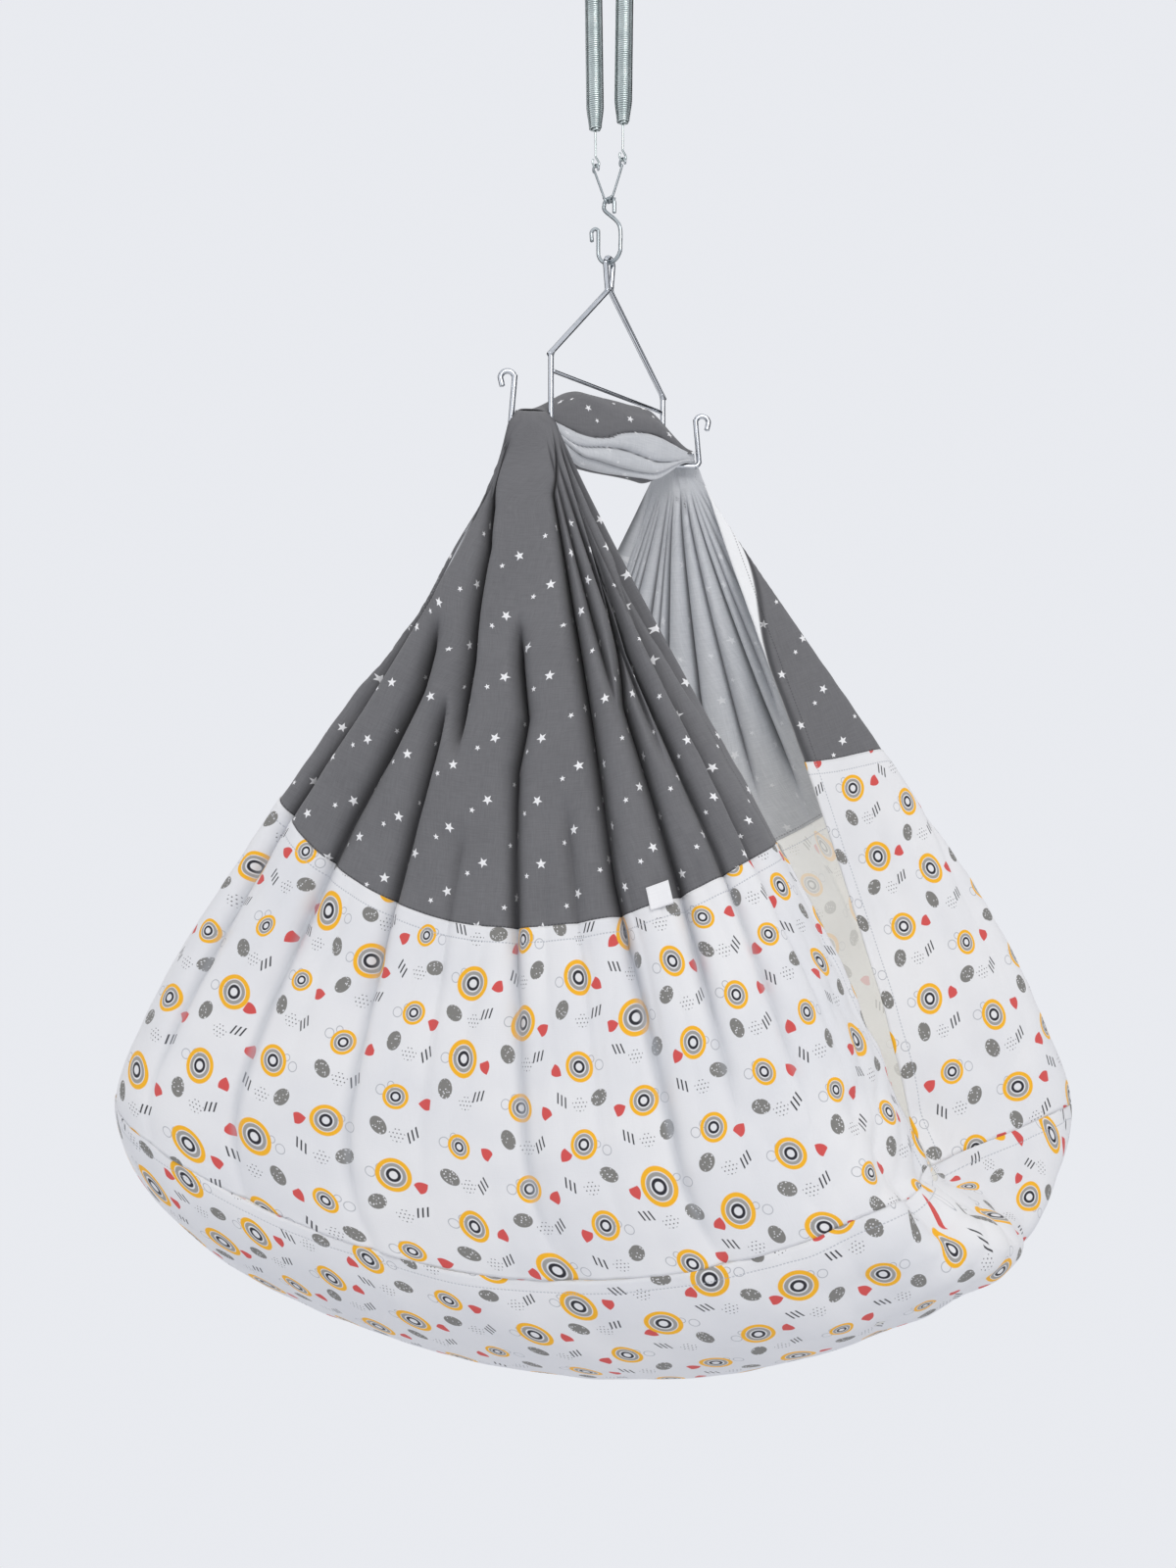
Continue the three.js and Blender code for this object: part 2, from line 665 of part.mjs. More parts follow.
/** Bridge: the rolled bundle of cloth between the gathers, under the crossbar. */
function bridgeGeometry() {
  const nearEnd = gatherPoint(0);
  const armVector = armDirection.clone().multiplyScalar((-armLength * gatherShare) / 2);
  const course = new THREE.Vector3(-nearEnd.x, -nearEnd.y, 0);
  const reachShare = 1 - (seamGap * 2) / course.length();
  course.normalize();
  const midVector = new THREE.Vector3(course.y, -course.x, 0).multiplyScalar(bridgeHalfWidth);
  const seat = armHeight + hangerWire / 2 + clearance;
  const rings = [];
  for (let k = 0; k <= bridgeStations; k += 1) {
    const v = (2 * k) / bridgeStations - 1;
    const puff = 1 - THREE.MathUtils.smoothstep(Math.abs(v), ...bridgeFlareShares);
    const width = armVector.clone().lerp(midVector, puff);
    const low = THREE.MathUtils.lerp(seat, armHeight - bridgeUndersideDrop, puff);
    const high = THREE.MathUtils.lerp(seat + gatherThickness, armHeight + bridgeTopRise, puff);
    const power = 1 - bridgeSquareShare * (1 - puff / 2);
    const ring = [];
    for (let i = 0; i < bridgeSides; i += 1) {
      const angle = ((2 * i + 1) / bridgeSides) * Math.PI;
      const wave = Math.cos(bridgeRolls * 2 * angle + v * bridgeTwist);
      const roll = (bridgeRollDepth * puff * wave) / bridgeHalfWidth;
      const point = nearEnd.clone().multiplyScalar(-v * reachShare).setZ((low + high) / 2);
      point.addScaledVector(width, squared(Math.cos(angle), power) * (1 + roll));
      point.z += (squared(Math.sin(angle), power) * (high - low)) / 2;
      ring.push(point);
    }
    rings.push(ring);
  }
  return loftGeometry(rings);
}

/** Closed body through rings of points, with a fan on each end. */
function loftGeometry(rings) {
  const count = rings[0].length;
  const centre = (ring) => ring.reduce((sum, p) => sum.add(p), new THREE.Vector3()).divideScalar(count);
  const points = [...rings.flat(), centre(rings[0]), centre(rings[rings.length - 1])];
  const faces = [];
  for (let k = 0; k < rings.length - 1; k += 1) {
    for (let i = 0; i < count; i += 1) {
      const next = (i + 1) % count;
      const a = k * count + i;
      const b = k * count + next;
      faces.push(a, a + count, b + count, a, b + count, b);
    }
  }
  const firstCentre = rings.length * count;
  const lastRing = (rings.length - 1) * count;
  for (let i = 0; i < count; i += 1) {
    const next = (i + 1) % count;
    faces.push(firstCentre, i, next);
    faces.push(firstCentre + 1, lastRing + next, lastRing + i);
  }
  const positions = points.flatMap((p) => [p.x, p.y, p.z]);
  const geometry = new THREE.BufferGeometry();
  geometry.setAttribute("position", new THREE.Float32BufferAttribute(positions, 3));
  geometry.setIndex(faces);
  geometry.computeVertexNormals();
  return geometry;
}

/** Side tag: a small folded label sewn to the seam, on the crest of a fold of the near wall. */
function tagGeometry() {
  const length = seamLength(nearWall, tagFoldShare);
  const seam = wallPoint(nearWall, tagFoldShare, length);
  const down = wallPoint(nearWall, tagFoldShare, length + tagSize).sub(seam).normalize();
  const level = wallPoint(nearWall, tagTurnShare, length).sub(seam);
  level.addScaledVector(down, -level.dot(down)).normalize();
  const outward = down.clone().cross(level);
  const crest = -foldHeight(tagFoldShare, length);
  const rise = crest + (clothThickness + tagThickness) / 2 + clearance;
  const tag = new THREE.BoxGeometry(tagSize, tagThickness, tagSize);
  tag.applyMatrix4(new THREE.Matrix4().makeBasis(level, outward, level.clone().cross(outward)));
  const middle = seam.addScaledVector(down, tagSize / 2).addScaledVector(outward, rise);
  tag.translate(middle.x, middle.y, middle.z);
  return tag;
}

const group = new THREE.Group();

/** Adds a named piece at a place. */
function piece(name, geometry, finish, height) {
  const mesh = new THREE.Mesh(geometry, finish.clone());
  mesh.name = name;
  mesh.position.z = height;
  group.add(mesh);
  return mesh;
}

const zinc = new THREE.MeshStandardMaterial({ color: 0x8f9698, roughness: 0.42, metalness: 1 });
const chrome = new THREE.MeshStandardMaterial({ color: 0xc9ccd0, roughness: 0.12, metalness: 1 });
const greyCotton = new THREE.MeshStandardMaterial({ color: 0x646467, roughness: 0.95, metalness: 0 });
const whiteCotton = new THREE.MeshStandardMaterial({ color: 0xf0f0f2, roughness: 0.95, metalness: 0 });
const padCotton = new THREE.MeshStandardMaterial({ color: 0xe4e4e4, roughness: 0.95, metalness: 0 });

const lowerHook = piece("lower_s_hook", sHookGeometry(), zinc, lowerSeat + sSeatRadius);
const upperHook = piece("upper_s_hook", sHookGeometry(), zinc, sWire / 2 - sSeatRadius);
upperHook.rotateOnAxis(along, Math.PI);

for (const [label, side] of [["left", -1], ["right", 1]]) {
  piece(`upper_link_${label}`, linkGeometry(side, springTopOffset, upperLinkDrop, -1), zinc, upperRingHeight);
  piece(`lower_link_${label}`, linkGeometry(side, springBottomOffset, lowerLinkDrop, 1), zinc, lowerRingHeight);
  const points = springPoints(side);
  const geometry = wireThrough(points, springWire, springSides);
  const spring = piece(`spring_${label}`, geometry, zinc, springBottom);
  spring.position.addScaledVector(along, side * springBottomOffset);
  console.log(`spring_${label}: least gap to itself ${leastGap(points, springWire).toFixed(2)} mm`);
}

piece("hanger_frame", hangerGeometry(), chrome, 0);
piece("hanger_crossbar", crossbarGeometry(), chrome, 0);
for (const [label, wall] of [["near", nearWall], ["far", farWall]]) {
  piece(`grey_cloth_${label}`, wallPanel(wall, greyLengthAt, greyColumns), greyCotton, 0);
  piece(`print_cloth_${label}`, wallPanel(wall, printLengthAt, printColumns), whiteCotton, 0);
}
piece("grey_cloth_bridge", bridgeGeometry(), greyCotton, 0);
piece("base_cloth", baseGeometry(), whiteCotton, 0);
piece("sleeping_pad", padGeometry(), padCotton, 0);
piece("side_tag", tagGeometry(), whiteCotton, 0);

export default group;
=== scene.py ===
# %% [markdown]
# A hanging baby cradle
#
# A long loop of cotton is gathered over the two arms of a bent-wire hanger. The hanger bounces on
# two springs. The CAD model is loaded first, as a fixed frame: it says where each piece is and
# which body moves it. Every piece here is a finer version of one of its solids.

import math

import bpy
import numpy as np
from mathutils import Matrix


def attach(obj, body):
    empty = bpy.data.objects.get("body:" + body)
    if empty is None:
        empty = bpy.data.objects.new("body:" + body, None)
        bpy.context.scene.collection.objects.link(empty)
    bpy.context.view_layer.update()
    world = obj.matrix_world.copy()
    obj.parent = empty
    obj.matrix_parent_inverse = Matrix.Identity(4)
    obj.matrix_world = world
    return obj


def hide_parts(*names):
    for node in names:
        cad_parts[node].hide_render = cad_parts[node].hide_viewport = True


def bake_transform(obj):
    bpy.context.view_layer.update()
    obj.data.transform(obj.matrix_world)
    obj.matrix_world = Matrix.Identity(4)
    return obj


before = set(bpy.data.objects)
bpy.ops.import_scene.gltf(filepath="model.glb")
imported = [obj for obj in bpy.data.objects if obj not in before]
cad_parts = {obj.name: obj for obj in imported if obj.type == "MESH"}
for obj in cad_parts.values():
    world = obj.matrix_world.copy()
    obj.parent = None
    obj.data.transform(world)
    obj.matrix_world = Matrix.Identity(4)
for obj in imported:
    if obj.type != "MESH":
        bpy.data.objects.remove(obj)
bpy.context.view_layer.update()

# %% [markdown]
# Driving sizes
#
# All sizes are metres. The origin is the seat of the ceiling hook, Z points up, X runs along the
# bed and the near wall of the bed is on the side of -Y. These are the sizes that the real cradle
# would be made to, so the wires and the cloth below are all worked out from them.

# %% Sizes of the wires
MM = 0.001
CLEARANCE = 0.3 * MM

S_WIRE = 4 * MM
S_SEAT_RADIUS = 13.6 * MM
S_SMALL_RADIUS = 6.2 * MM
S_HEIGHT = 68 * MM
S_TAIL = 11 * MM
S_CURL_RADIUS = 4.3 * MM
S_CURL_RISE = 21 * MM
S_CURL_TIP = 9 * MM

LINK_WIRE = 2.4 * MM
LINK_SPAN = 38 * MM
LINK_EYE_RADIUS = 4.3 * MM
LINK_RING_GAP = 0.6 * MM
LINK_SPLAY = math.radians(35)

SPRING_WIRE = 2.2 * MM
SPRING_COIL_RADIUS = 8.2 * MM
SPRING_EYE_RADIUS = 4.4 * MM
SPRING_LENGTH = 349 * MM
SPRING_NECK = 15 * MM
SPRING_TOP_OFFSET = 22 * MM
SPRING_BOTTOM_OFFSET = 16.5 * MM
EYE_TURN = math.radians(55)

HANGER_WIRE = 5.6 * MM
HANGER_TURN = math.radians(-17.9)
HANGER_LOOP_RADIUS = 6.9 * MM
HANGER_LOOP_HEIGHT = 35 * MM
HANGER_HALF_SPAN = 106 * MM
HANGER_SHOULDER_DROP = 123 * MM
HANGER_ARM_DROP = 198 * MM
HANGER_BEND = 6 * MM
HANGER_SHOULDER_BEND = 12 * MM
ARM_LENGTH = 40 * MM
ARM_TURN = math.radians(23.6)
HOOK_RISE = 48 * MM
HOOK_LEAN = 4 * MM
HOOK_CURL_RADIUS = 7 * MM
HOOK_TIP = 9 * MM
CROSSBAR_WIRE = 4 * MM
CROSSBAR_DROP = 140.6 * MM

# %% Sizes of the cloth
CLOTH_THICKNESS = 1.1 * MM
GATHER_THICKNESS = 14 * MM
GATHER_SHARE = 0.72
BED_HALF_LENGTH = 457 * MM
BED_HALF_WIDTH = 208 * MM
BED_DEPTH = 937 * MM
BED_SKEW_SHARE = 0.03
KEEL_HALF_LENGTH = 425 * MM
GREY_LENGTH = 510 * MM
CLOTH_WIDTH = 0.91
PRINT_WIDTH = 1.1
HEM_WIDTH = 13 * MM
FOLD_DEPTH = 43 * MM

BRIDGE_HALF_WIDTH = 23 * MM
BRIDGE_TOP_RISE = 50 * MM
BRIDGE_UNDERSIDE_DROP = 34 * MM

PAD_THICKNESS = 34 * MM
PAD_LIFT = 1.2 * MM
PAD_HALF_LENGTH_SHARE = 0.5
PAD_HALF_WIDTH = 150 * MM

TAG_SIZE = 22 * MM
TAG_THICKNESS = 1.4 * MM

# %% Heights and directions, from the origin down
UP = np.array([0.0, 0.0, 1.0])


def level_direction(angle):
    """Unit vector in the level plane at an angle from +X."""
    return np.array([math.cos(angle), math.sin(angle), 0.0])


ALONG = level_direction(HANGER_TURN)
ACROSS = level_direction(HANGER_TURN + math.pi / 2)
ARM = -level_direction(ARM_TURN)
ARM_OUTWARD = np.array([-ARM[1], ARM[0], 0.0])

ring_drop = S_SMALL_RADIUS * (1 - math.cos(LINK_SPLAY))
ring_offset = S_SMALL_RADIUS * math.sin(LINK_SPLAY)
upper_ring = S_WIRE / 2 - S_HEIGHT + ring_drop
upper_link_drop = math.sqrt(LINK_SPAN**2 - (SPRING_TOP_OFFSET - ring_offset) ** 2)
lower_link_drop = math.sqrt(LINK_SPAN**2 - (SPRING_BOTTOM_OFFSET - ring_offset) ** 2)
hook_overlap = LINK_EYE_RADIUS - (LINK_WIRE + SPRING_WIRE) / 2 - CLEARANCE
spring_top = upper_ring - upper_link_drop - hook_overlap
spring_lean = math.asin((SPRING_TOP_OFFSET - SPRING_BOTTOM_OFFSET) / SPRING_LENGTH)
spring_bottom = spring_top - SPRING_LENGTH * math.cos(spring_lean)
lower_ring = spring_bottom - hook_overlap - lower_link_drop
lower_seat = lower_ring + ring_drop - S_HEIGHT
hanger_top = lower_seat + (S_WIRE + HANGER_WIRE) / 2 + CLEARANCE
arm_height = hanger_top - HANGER_ARM_DROP
crossbar_height = hanger_top - CROSSBAR_DROP
print(f"arm height {arm_height:.4f}, keel {arm_height - BED_DEPTH:.4f}")

# %% [markdown]
# Camera
#
# The photograph was taken level with the seam of the cloth, two metres away and a little to the
# right. A perspective camera with a 60 mm lens on a 36 mm sensor has the same field, and a small
# turn and tilt puts the plumb line of the springs where the photograph has it.

# %% Camera
CAMERA_LENS = 60
CAMERA_SENSOR = 36
CAMERA_DISTANCE = 2.0
CAMERA_HEIGHT = -1.193
CAMERA_AZIMUTH = math.radians(15)
CAMERA_YAW = math.radians(0.63)
CAMERA_TILT = math.radians(2.86)


def add_camera():
    """A camera on a level circle round the plumb line, turned a little left and tilted up."""
    data = bpy.data.cameras.new("camera")
    data.sensor_fit = "HORIZONTAL"
    data.sensor_width = CAMERA_SENSOR
    data.lens = CAMERA_LENS
    data.clip_end = 50
    camera = bpy.data.objects.new("camera", data)
    camera.location = (
        CAMERA_DISTANCE * math.sin(CAMERA_AZIMUTH),
        -CAMERA_DISTANCE * math.cos(CAMERA_AZIMUTH),
        CAMERA_HEIGHT,
    )
    camera.rotation_euler = (math.pi / 2 + CAMERA_TILT, 0, CAMERA_AZIMUTH + CAMERA_YAW)
    bpy.context.scene.collection.objects.link(camera)
    bpy.context.scene.camera = camera
    return camera


print("camera at", tuple(round(value, 3) for value in add_camera().location))

# %% [markdown]
# Surfaces
#
# Every piece is a grid of points: rows one way, columns the other. A wire is a circle carried
# along a path, and a cloth is a grid of threads. One function turns such a grid into a mesh, so
# each piece below only has to say where its points are.

# %% From a grid to a mesh


def unit(vectors):
    """Vectors divided by their lengths."""
    return vectors / np.linalg.norm(vectors, axis=-1, keepdims=True)


def smooth(start, stop, value):
    """Smoothstep: 0 before start, 1 after stop, and 3t^2 - 2t^3 between."""
    t = np.clip((value - start) / (stop - start), 0, 1)
    return t * t * (3 - 2 * t)


def grid_faces(rows, columns, wrap=False, flip=False):
    """Quads of a grid of points, counted row by row; wrap joins the last column to the first."""
    i = np.arange(rows - 1)[:, None]
    j = np.arange(columns if wrap else columns - 1)[None, :]
    next_j = (j + 1) % columns
    corners = [i * columns + j, i * columns + next_j, (i + 1) * columns + next_j, (i + 1) * columns + j]
    faces = np.stack(np.broadcast_arrays(*corners), axis=-1).reshape(-1, 4)
    return faces[:, ::-1] if flip else faces


def new_object(name, points, faces, uv=None, materials=()):
    """A smooth-shaded mesh object from arrays of points and faces, with a UV for each point."""
    mesh = bpy.data.meshes.new(name)
    mesh.from_pydata(points.reshape(-1, 3).tolist(), [], [list(face) for face in faces])
    mesh.polygons.foreach_set("use_smooth", np.ones(len(mesh.polygons), bool))
    if uv is not None:
        corner_points = np.empty(len(mesh.loops), np.int32)
        mesh.loops.foreach_get("vertex_index", corner_points)
        layer = mesh.uv_layers.new(name="flat")
        layer.data.foreach_set("uv", uv.reshape(-1, 2)[corner_points].astype(np.float32).ravel())
    for material in materials:
        mesh.materials.append(material)
    mesh.update()
    obj = bpy.data.objects.new(name, mesh)
    bpy.context.scene.collection.objects.link(obj)
    return obj


# %% A tube along a path
CAP_RINGS = 5
CAP_TIP_SHARE = 0.02
CURVE_STEPS = 12


def tube(path, reference, radius, sides):
    """A circle carried along a path, with round ends.

    At each point of the path the circle lies in the plane square to the path. Its zero angle
    points along path direction x reference. At both ends the radius shrinks as the cosine of an
    angle while the centre moves on by the radius times its sine, which makes a half sphere.
    """
    tangent = unit(np.gradient(path, axis=0))
    first = unit(np.cross(tangent, np.broadcast_to(reference, path.shape)))
    second = np.cross(tangent, first)
    angle = np.linspace(math.pi / 2, 0, CAP_RINGS, endpoint=False)[:, None]
    start = path[0] - tangent[0] * radius * np.sin(angle) + tangent[0] * radius
    stop = (path[-1] + tangent[-1] * radius * np.sin(angle) - tangent[-1] * radius)[::-1]
    centres = np.concatenate([start, path[1:-1], stop])
    end_radii = radius * np.cos(angle)[:, 0]
    radii = np.concatenate([end_radii, np.full(len(path) - 2, radius), end_radii[::-1]])
    station = np.clip(np.arange(len(centres)) - CAP_RINGS + 1, 0, len(path) - 1)
    first, second = first[station, None], second[station, None]
    turn = np.linspace(0, 2 * math.pi, sides, endpoint=False)[:, None]
    ring = first * np.cos(turn) + second * np.sin(turn)
    points = centres[:, None] + ring * np.maximum(radii, radius * CAP_TIP_SHARE)[:, None, None]
    faces = grid_faces(len(centres), sides, wrap=True).tolist()
    last = (len(centres) - 1) * sides
    faces += [list(range(sides)), list(range(last, last + sides))[::-1]]
    return points.reshape(-1, 3), faces


def catmull_rom(a, b, c, d, f):
    """The place at share f of the way from b to c, on the smooth curve through a, b, c and d."""
    return b + f * (c - a + f * (2 * a - 5 * b + 4 * c - d + f * (3 * (b - c) + d - a))) / 2


def resampled(points, step):
    """Points at equal steps along a smooth curve through the points of a polyline."""
    padded = np.concatenate([2 * points[:1] - points[1:2], points, 2 * points[-1:] - points[-2:-1]])
    a, b, c, d = (padded[k : k + len(points) - 1, None] for k in range(4))
    f = np.linspace(0, 1, CURVE_STEPS, endpoint=False)[None, :, None]
    curve = np.concatenate([catmull_rom(a, b, c, d, f).reshape(-1, 3), points[-1:]])
    walked = np.concatenate([[0], np.cumsum(np.linalg.norm(np.diff(curve, axis=0), axis=1))])
    wanted = np.linspace(0, walked[-1], max(int(walked[-1] / step), 2) + 1)
    return np.stack([np.interp(wanted, walked, curve[:, axis]) for axis in range(3)], axis=-1)


def arc(centre, first, second, radius, start, stop, count=16):
    """Points on a circle about centre, from angle start to angle stop, in the plane of two vectors."""
    angle = np.linspace(start, stop, count + 1)[:, None]
    return centre + radius * (np.cos(angle) * first + np.sin(angle) * second)


def at(direction, distance, height):
    """A point at a distance along a level direction, at a height."""
    return direction * distance + UP * height


# %% [markdown]
# Shader maths
#
# A material is written as an expression. The class below wraps one socket of a node, and its
# operators add the Math nodes, so `1 - mask` reads as it would on paper.

# %% Sockets as values


class Graph:
    """The node tree of one material or world, and the way to add a node to it."""

    def __init__(self, name, world=False):
        self.owner = (bpy.data.worlds if world else bpy.data.materials).new(name)
        self.owner.use_nodes = True
        self.tree = self.owner.node_tree
        self.tree.nodes.clear()
        self.end_kind = "ShaderNodeOutputWorld" if world else "ShaderNodeOutputMaterial"

    def node(self, kind, settings=None, sockets=None, output=0):
        """Adds a node: its settings first, then the values or links of its sockets."""
        made = self.tree.nodes.new(kind)
        for key, value in (settings or {}).items():
            setattr(made, key, value)
        for key, value in (sockets or {}).items():
            if isinstance(value, Value):
                self.tree.links.new(value.socket, made.inputs[key])
            else:
                made.inputs[key].default_value = value
        return Value(self, made.outputs[output])

    def mix(self, below, above, factor):
        """Colour below where factor is 0 and above where it is 1."""
        sockets = {0: factor, 6: below, 7: above}
        return self.node("ShaderNodeMix", {"data_type": "RGBA"}, sockets, output=2)

    def surface(self, shader):
        """Ends the tree with this shader and returns its material or world."""
        end = self.tree.nodes.new(self.end_kind)
        self.tree.links.new(shader.socket, end.inputs[0])
        return self.owner


class Value:
    """One output socket, with the arithmetic that adds Math nodes."""

    def __init__(self, graph, socket):
        self.graph = graph
        self.socket = socket

    def maths(self, operation, *others):
        """The result of one Math node for this value and the others."""
        sockets = dict(enumerate((self, *others)))
        return self.graph.node("ShaderNodeMath", {"operation": operation}, sockets)

    def __add__(self, other):
        return self.maths("ADD", other)

    def __radd__(self, other):
        return self.maths("ADD", other)

    def __sub__(self, other):
        return self.maths("SUBTRACT", other)

    def __rsub__(self, other):
        return (self * -1) + other

    def __mul__(self, other):
        return self.maths("MULTIPLY", other)

    def __rmul__(self, other):
        return self.maths("MULTIPLY", other)

    def __truediv__(self, other):
        return self.maths("DIVIDE", other)

    def __abs__(self):
        return self.maths("ABSOLUTE")

    def floor(self):
        """The whole number just below this value."""
        return self.maths("FLOOR")

    def larger(self, other):
        """The larger of two values, which joins two masks."""
        return self.maths("MAXIMUM", other)

    def ramp(self, start, stop):
        """0 at start, 1 at stop, smooth between; start may be above stop."""
        settings = {"interpolation_type": "SMOOTHSTEP"}
        return self.graph.node("ShaderNodeMapRange", settings, {0: self, 1: start, 2: stop})


# %% [markdown]
# Metals
#
# The hanger is bright chrome, the hooks and links are zinc plated and the springs are drawn wire.
# All three are one recipe: a metal whose roughness and colour drift a little with noise, because
# a perfectly even metal looks like paint.

# %% Metal materials
LINEAR_POWER = 2.2
GRAIN_STRENGTH = 0.08
GRAIN_DEPTH = 0.2 * MM


def srgb(red, green, blue):
    """A colour written as 0 to 255 values of a picture, as the linear colour that shaders use."""
    return tuple((channel / 255) ** LINEAR_POWER for channel in (red, green, blue)) + (1.0,)


def metal(name, light, dark, rough_low, rough_high, grain):
    """A metal between two colours, with blotches of roughness and a fine drawn grain."""
    g = Graph(name)
    place = g.node("ShaderNodeTexCoord", output=3)
    blotches = g.node("ShaderNodeTexNoise", None, {"Vector": place, "Scale": 60.0, "Detail": 3.0})
    specks = g.node("ShaderNodeTexNoise", None, {"Vector": place, "Scale": grain, "Detail": 2.0})
    colour = g.mix(light, dark, blotches.ramp(0.35, 0.75) * 0.6)
    rough = blotches.ramp(0.3, 0.7) * (rough_high - rough_low) + rough_low
    relief = {"Strength": GRAIN_STRENGTH, "Distance": GRAIN_DEPTH, "Height": specks}
    bump = g.node("ShaderNodeBump", None, relief)
    sockets = {"Base Color": colour, "Metallic": 1.0, "Roughness": rough, "Normal": bump}
    return g.surface(g.node("ShaderNodeBsdfPrincipled", None, sockets))


chrome = metal("bright_chrome", srgb(212, 215, 220), srgb(182, 186, 192), 0.08, 0.18, 900.0)
zinc = metal("zinc_plate", srgb(186, 193, 196), srgb(140, 148, 152), 0.22, 0.4, 700.0)
spring_steel = metal("drawn_spring_wire", srgb(212, 221, 220), srgb(178, 189, 189), 0.2, 0.3, 500.0)
print("metals:", chrome.name, zinc.name, spring_steel.name)

# %% [markdown]
# S-hooks
#
# An S-hook is one piece of wire with two bends. The small one closes on its shank, and the wide
# one ends in a little outward curl that guides the hanger in. It could be two tori and a bar, but
# the real one has no seams, so it is one path of arcs with a circle carried along it.

# %% S-hooks
WIRE_STEP = 0.9 * MM
WIRE_SIDES = 16
RIGHT_ANGLE = math.pi / 2
SHANK_TOP_SHARE = 0.8
SHANK_FOOT_SHARE = 0.9
CURL_END_SHARE = 0.8


def s_hook_path():
    """Tail, small bend, slanting shank, wide bend and outward curl, from the seat's centre."""
    rise = S_HEIGHT - S_SEAT_RADIUS - S_SMALL_RADIUS
    curl = at(ALONG, -S_SEAT_RADIUS - S_CURL_RADIUS, S_CURL_RISE)
    points = [
        at(ALONG, S_SMALL_RADIUS, rise - S_TAIL)[None],
        arc(at(ALONG, 0, rise), ALONG, UP, S_SMALL_RADIUS, 0, math.pi, 8),
        at(ALONG, -S_SMALL_RADIUS * SHANK_TOP_SHARE, rise - S_SMALL_RADIUS)[None],
        at(ALONG, S_SEAT_RADIUS * SHANK_FOOT_SHARE, rise / 2)[None],
        arc(at(ALONG, 0, 0), ALONG, UP, S_SEAT_RADIUS, 0, -math.pi, 10),
        arc(curl, ALONG, UP, S_CURL_RADIUS, 0, math.pi, 6),
        (curl - at(ALONG, S_CURL_RADIUS * CURL_END_SHARE, S_CURL_TIP))[None],
    ]
    return np.concatenate(points)


def add_wire(name, path, reference, diameter, material):
    """A wire piece: its path at even steps, with a circle of the wire's size carried along it."""
    points, faces = tube(resampled(path, WIRE_STEP), reference, diameter / 2, WIRE_SIDES)
    return new_object(name, points, faces, materials=[material])


def place_piece(obj, body, slot_name, *nodes):
    """Lets a piece ride on a body and stand for CAD nodes; slot_name is not used."""
    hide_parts(*nodes)
    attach(obj, body)
    print(obj.name, len(obj.data.polygons), "faces, rides on", body)
    return obj


hook_path = s_hook_path()
lower_hook_path = hook_path + UP * (lower_seat + S_SEAT_RADIUS)
turned = 2 * (hook_path @ ALONG)[:, None] * ALONG - hook_path
upper_hook_path = turned + UP * (S_WIRE / 2 - S_SEAT_RADIUS)
for label, path, body in (
    ("lower", lower_hook_path, "lower_hook"),
    ("upper", upper_hook_path, "ceiling_hook"),
):
    hook = add_wire(f"{label}_hook_wire", path, ACROSS, S_WIRE, zinc)
    place_piece(hook, body, "zinc_wire", f"{label}_s_hook")

# %% [markdown]
# Links
#
# Between each S-hook and each spring there is a short link: a ring closed round the hook, a shank
# and an open eye that the spring's own hook hangs in. The ring and the eye lie in two planes. The
# same recipe as for the S-hooks serves here: two arcs, and a smooth curve makes the shank between.

# %% Links
RING_ARC = (RIGHT_ANGLE / 2, 3.75 * RIGHT_ANGLE)
EYE_ARC = (-1.8 * RIGHT_ANGLE, 1.5 * RIGHT_ANGLE)
ARC_STEPS = 14


def link_path(side, offset, drop, sense):
    """Ring about the S-hook's small bend, then an upright eye, at opposite ends of the link."""
    radial = at(ALONG, side * math.sin(LINK_SPLAY), sense * math.cos(LINK_SPLAY))
    ring_centre = at(ALONG, side * ring_offset, 0)
    eye_centre = at(ALONG, side * offset, sense * drop)
    ring_radius = (S_WIRE + LINK_WIRE) / 2 + LINK_RING_GAP
    eye_side = level_direction(EYE_TURN - RIGHT_ANGLE)
    ring = arc(ring_centre, radial, ACROSS, ring_radius, *RING_ARC, ARC_STEPS)
    eye = arc(eye_centre, UP * sense, eye_side, LINK_EYE_RADIUS, *EYE_ARC, ARC_STEPS)
    return np.concatenate([ring, eye])


LINK_REFERENCE = unit(np.array([1.0, 2.6, 0.9]))  # no stretch of a link runs this way
for label, side in (("left", -1), ("right", 1)):
    upper = link_path(side, SPRING_TOP_OFFSET, upper_link_drop, -1) + UP * upper_ring
    lower = link_path(side, SPRING_BOTTOM_OFFSET, lower_link_drop, 1) + UP * lower_ring
    link = add_wire(f"upper_link_wire_{label}", upper, LINK_REFERENCE, LINK_WIRE, zinc)
    place_piece(link, "spring_set", "zinc_wire", f"upper_link_{label}")
    link = add_wire(f"lower_link_wire_{label}", lower, LINK_REFERENCE, LINK_WIRE, zinc)
    place_piece(link, "lower_links", "zinc_wire", f"lower_link_{label}")

# %% [markdown]
# Springs
#
# An extension spring is close wound: at rest each turn touches the next. Its last turns taper, and
# the very last one narrows to the middle and becomes a neck and a hook. A Screw modifier could make
# the even turns, but not the ends. The whole spring is one wire, so the path is one array too:
# hook, neck, about 120 turns, neck and hook.

# %% Springs
TURN_STEPS = 20
SPRING_SIDES = 7
TAPER_TURNS = 12
TAPER_SHARE = 0.68
STRAIGHT_END = 15 * MM
SPRING_EYE_ARC = (1.45 * RIGHT_ANGLE, 4.4 * RIGHT_ANGLE)
SPRING_EYE_STEPS = 20
NECK_POINTS = 8
FIRST_TURN_START = 0.01


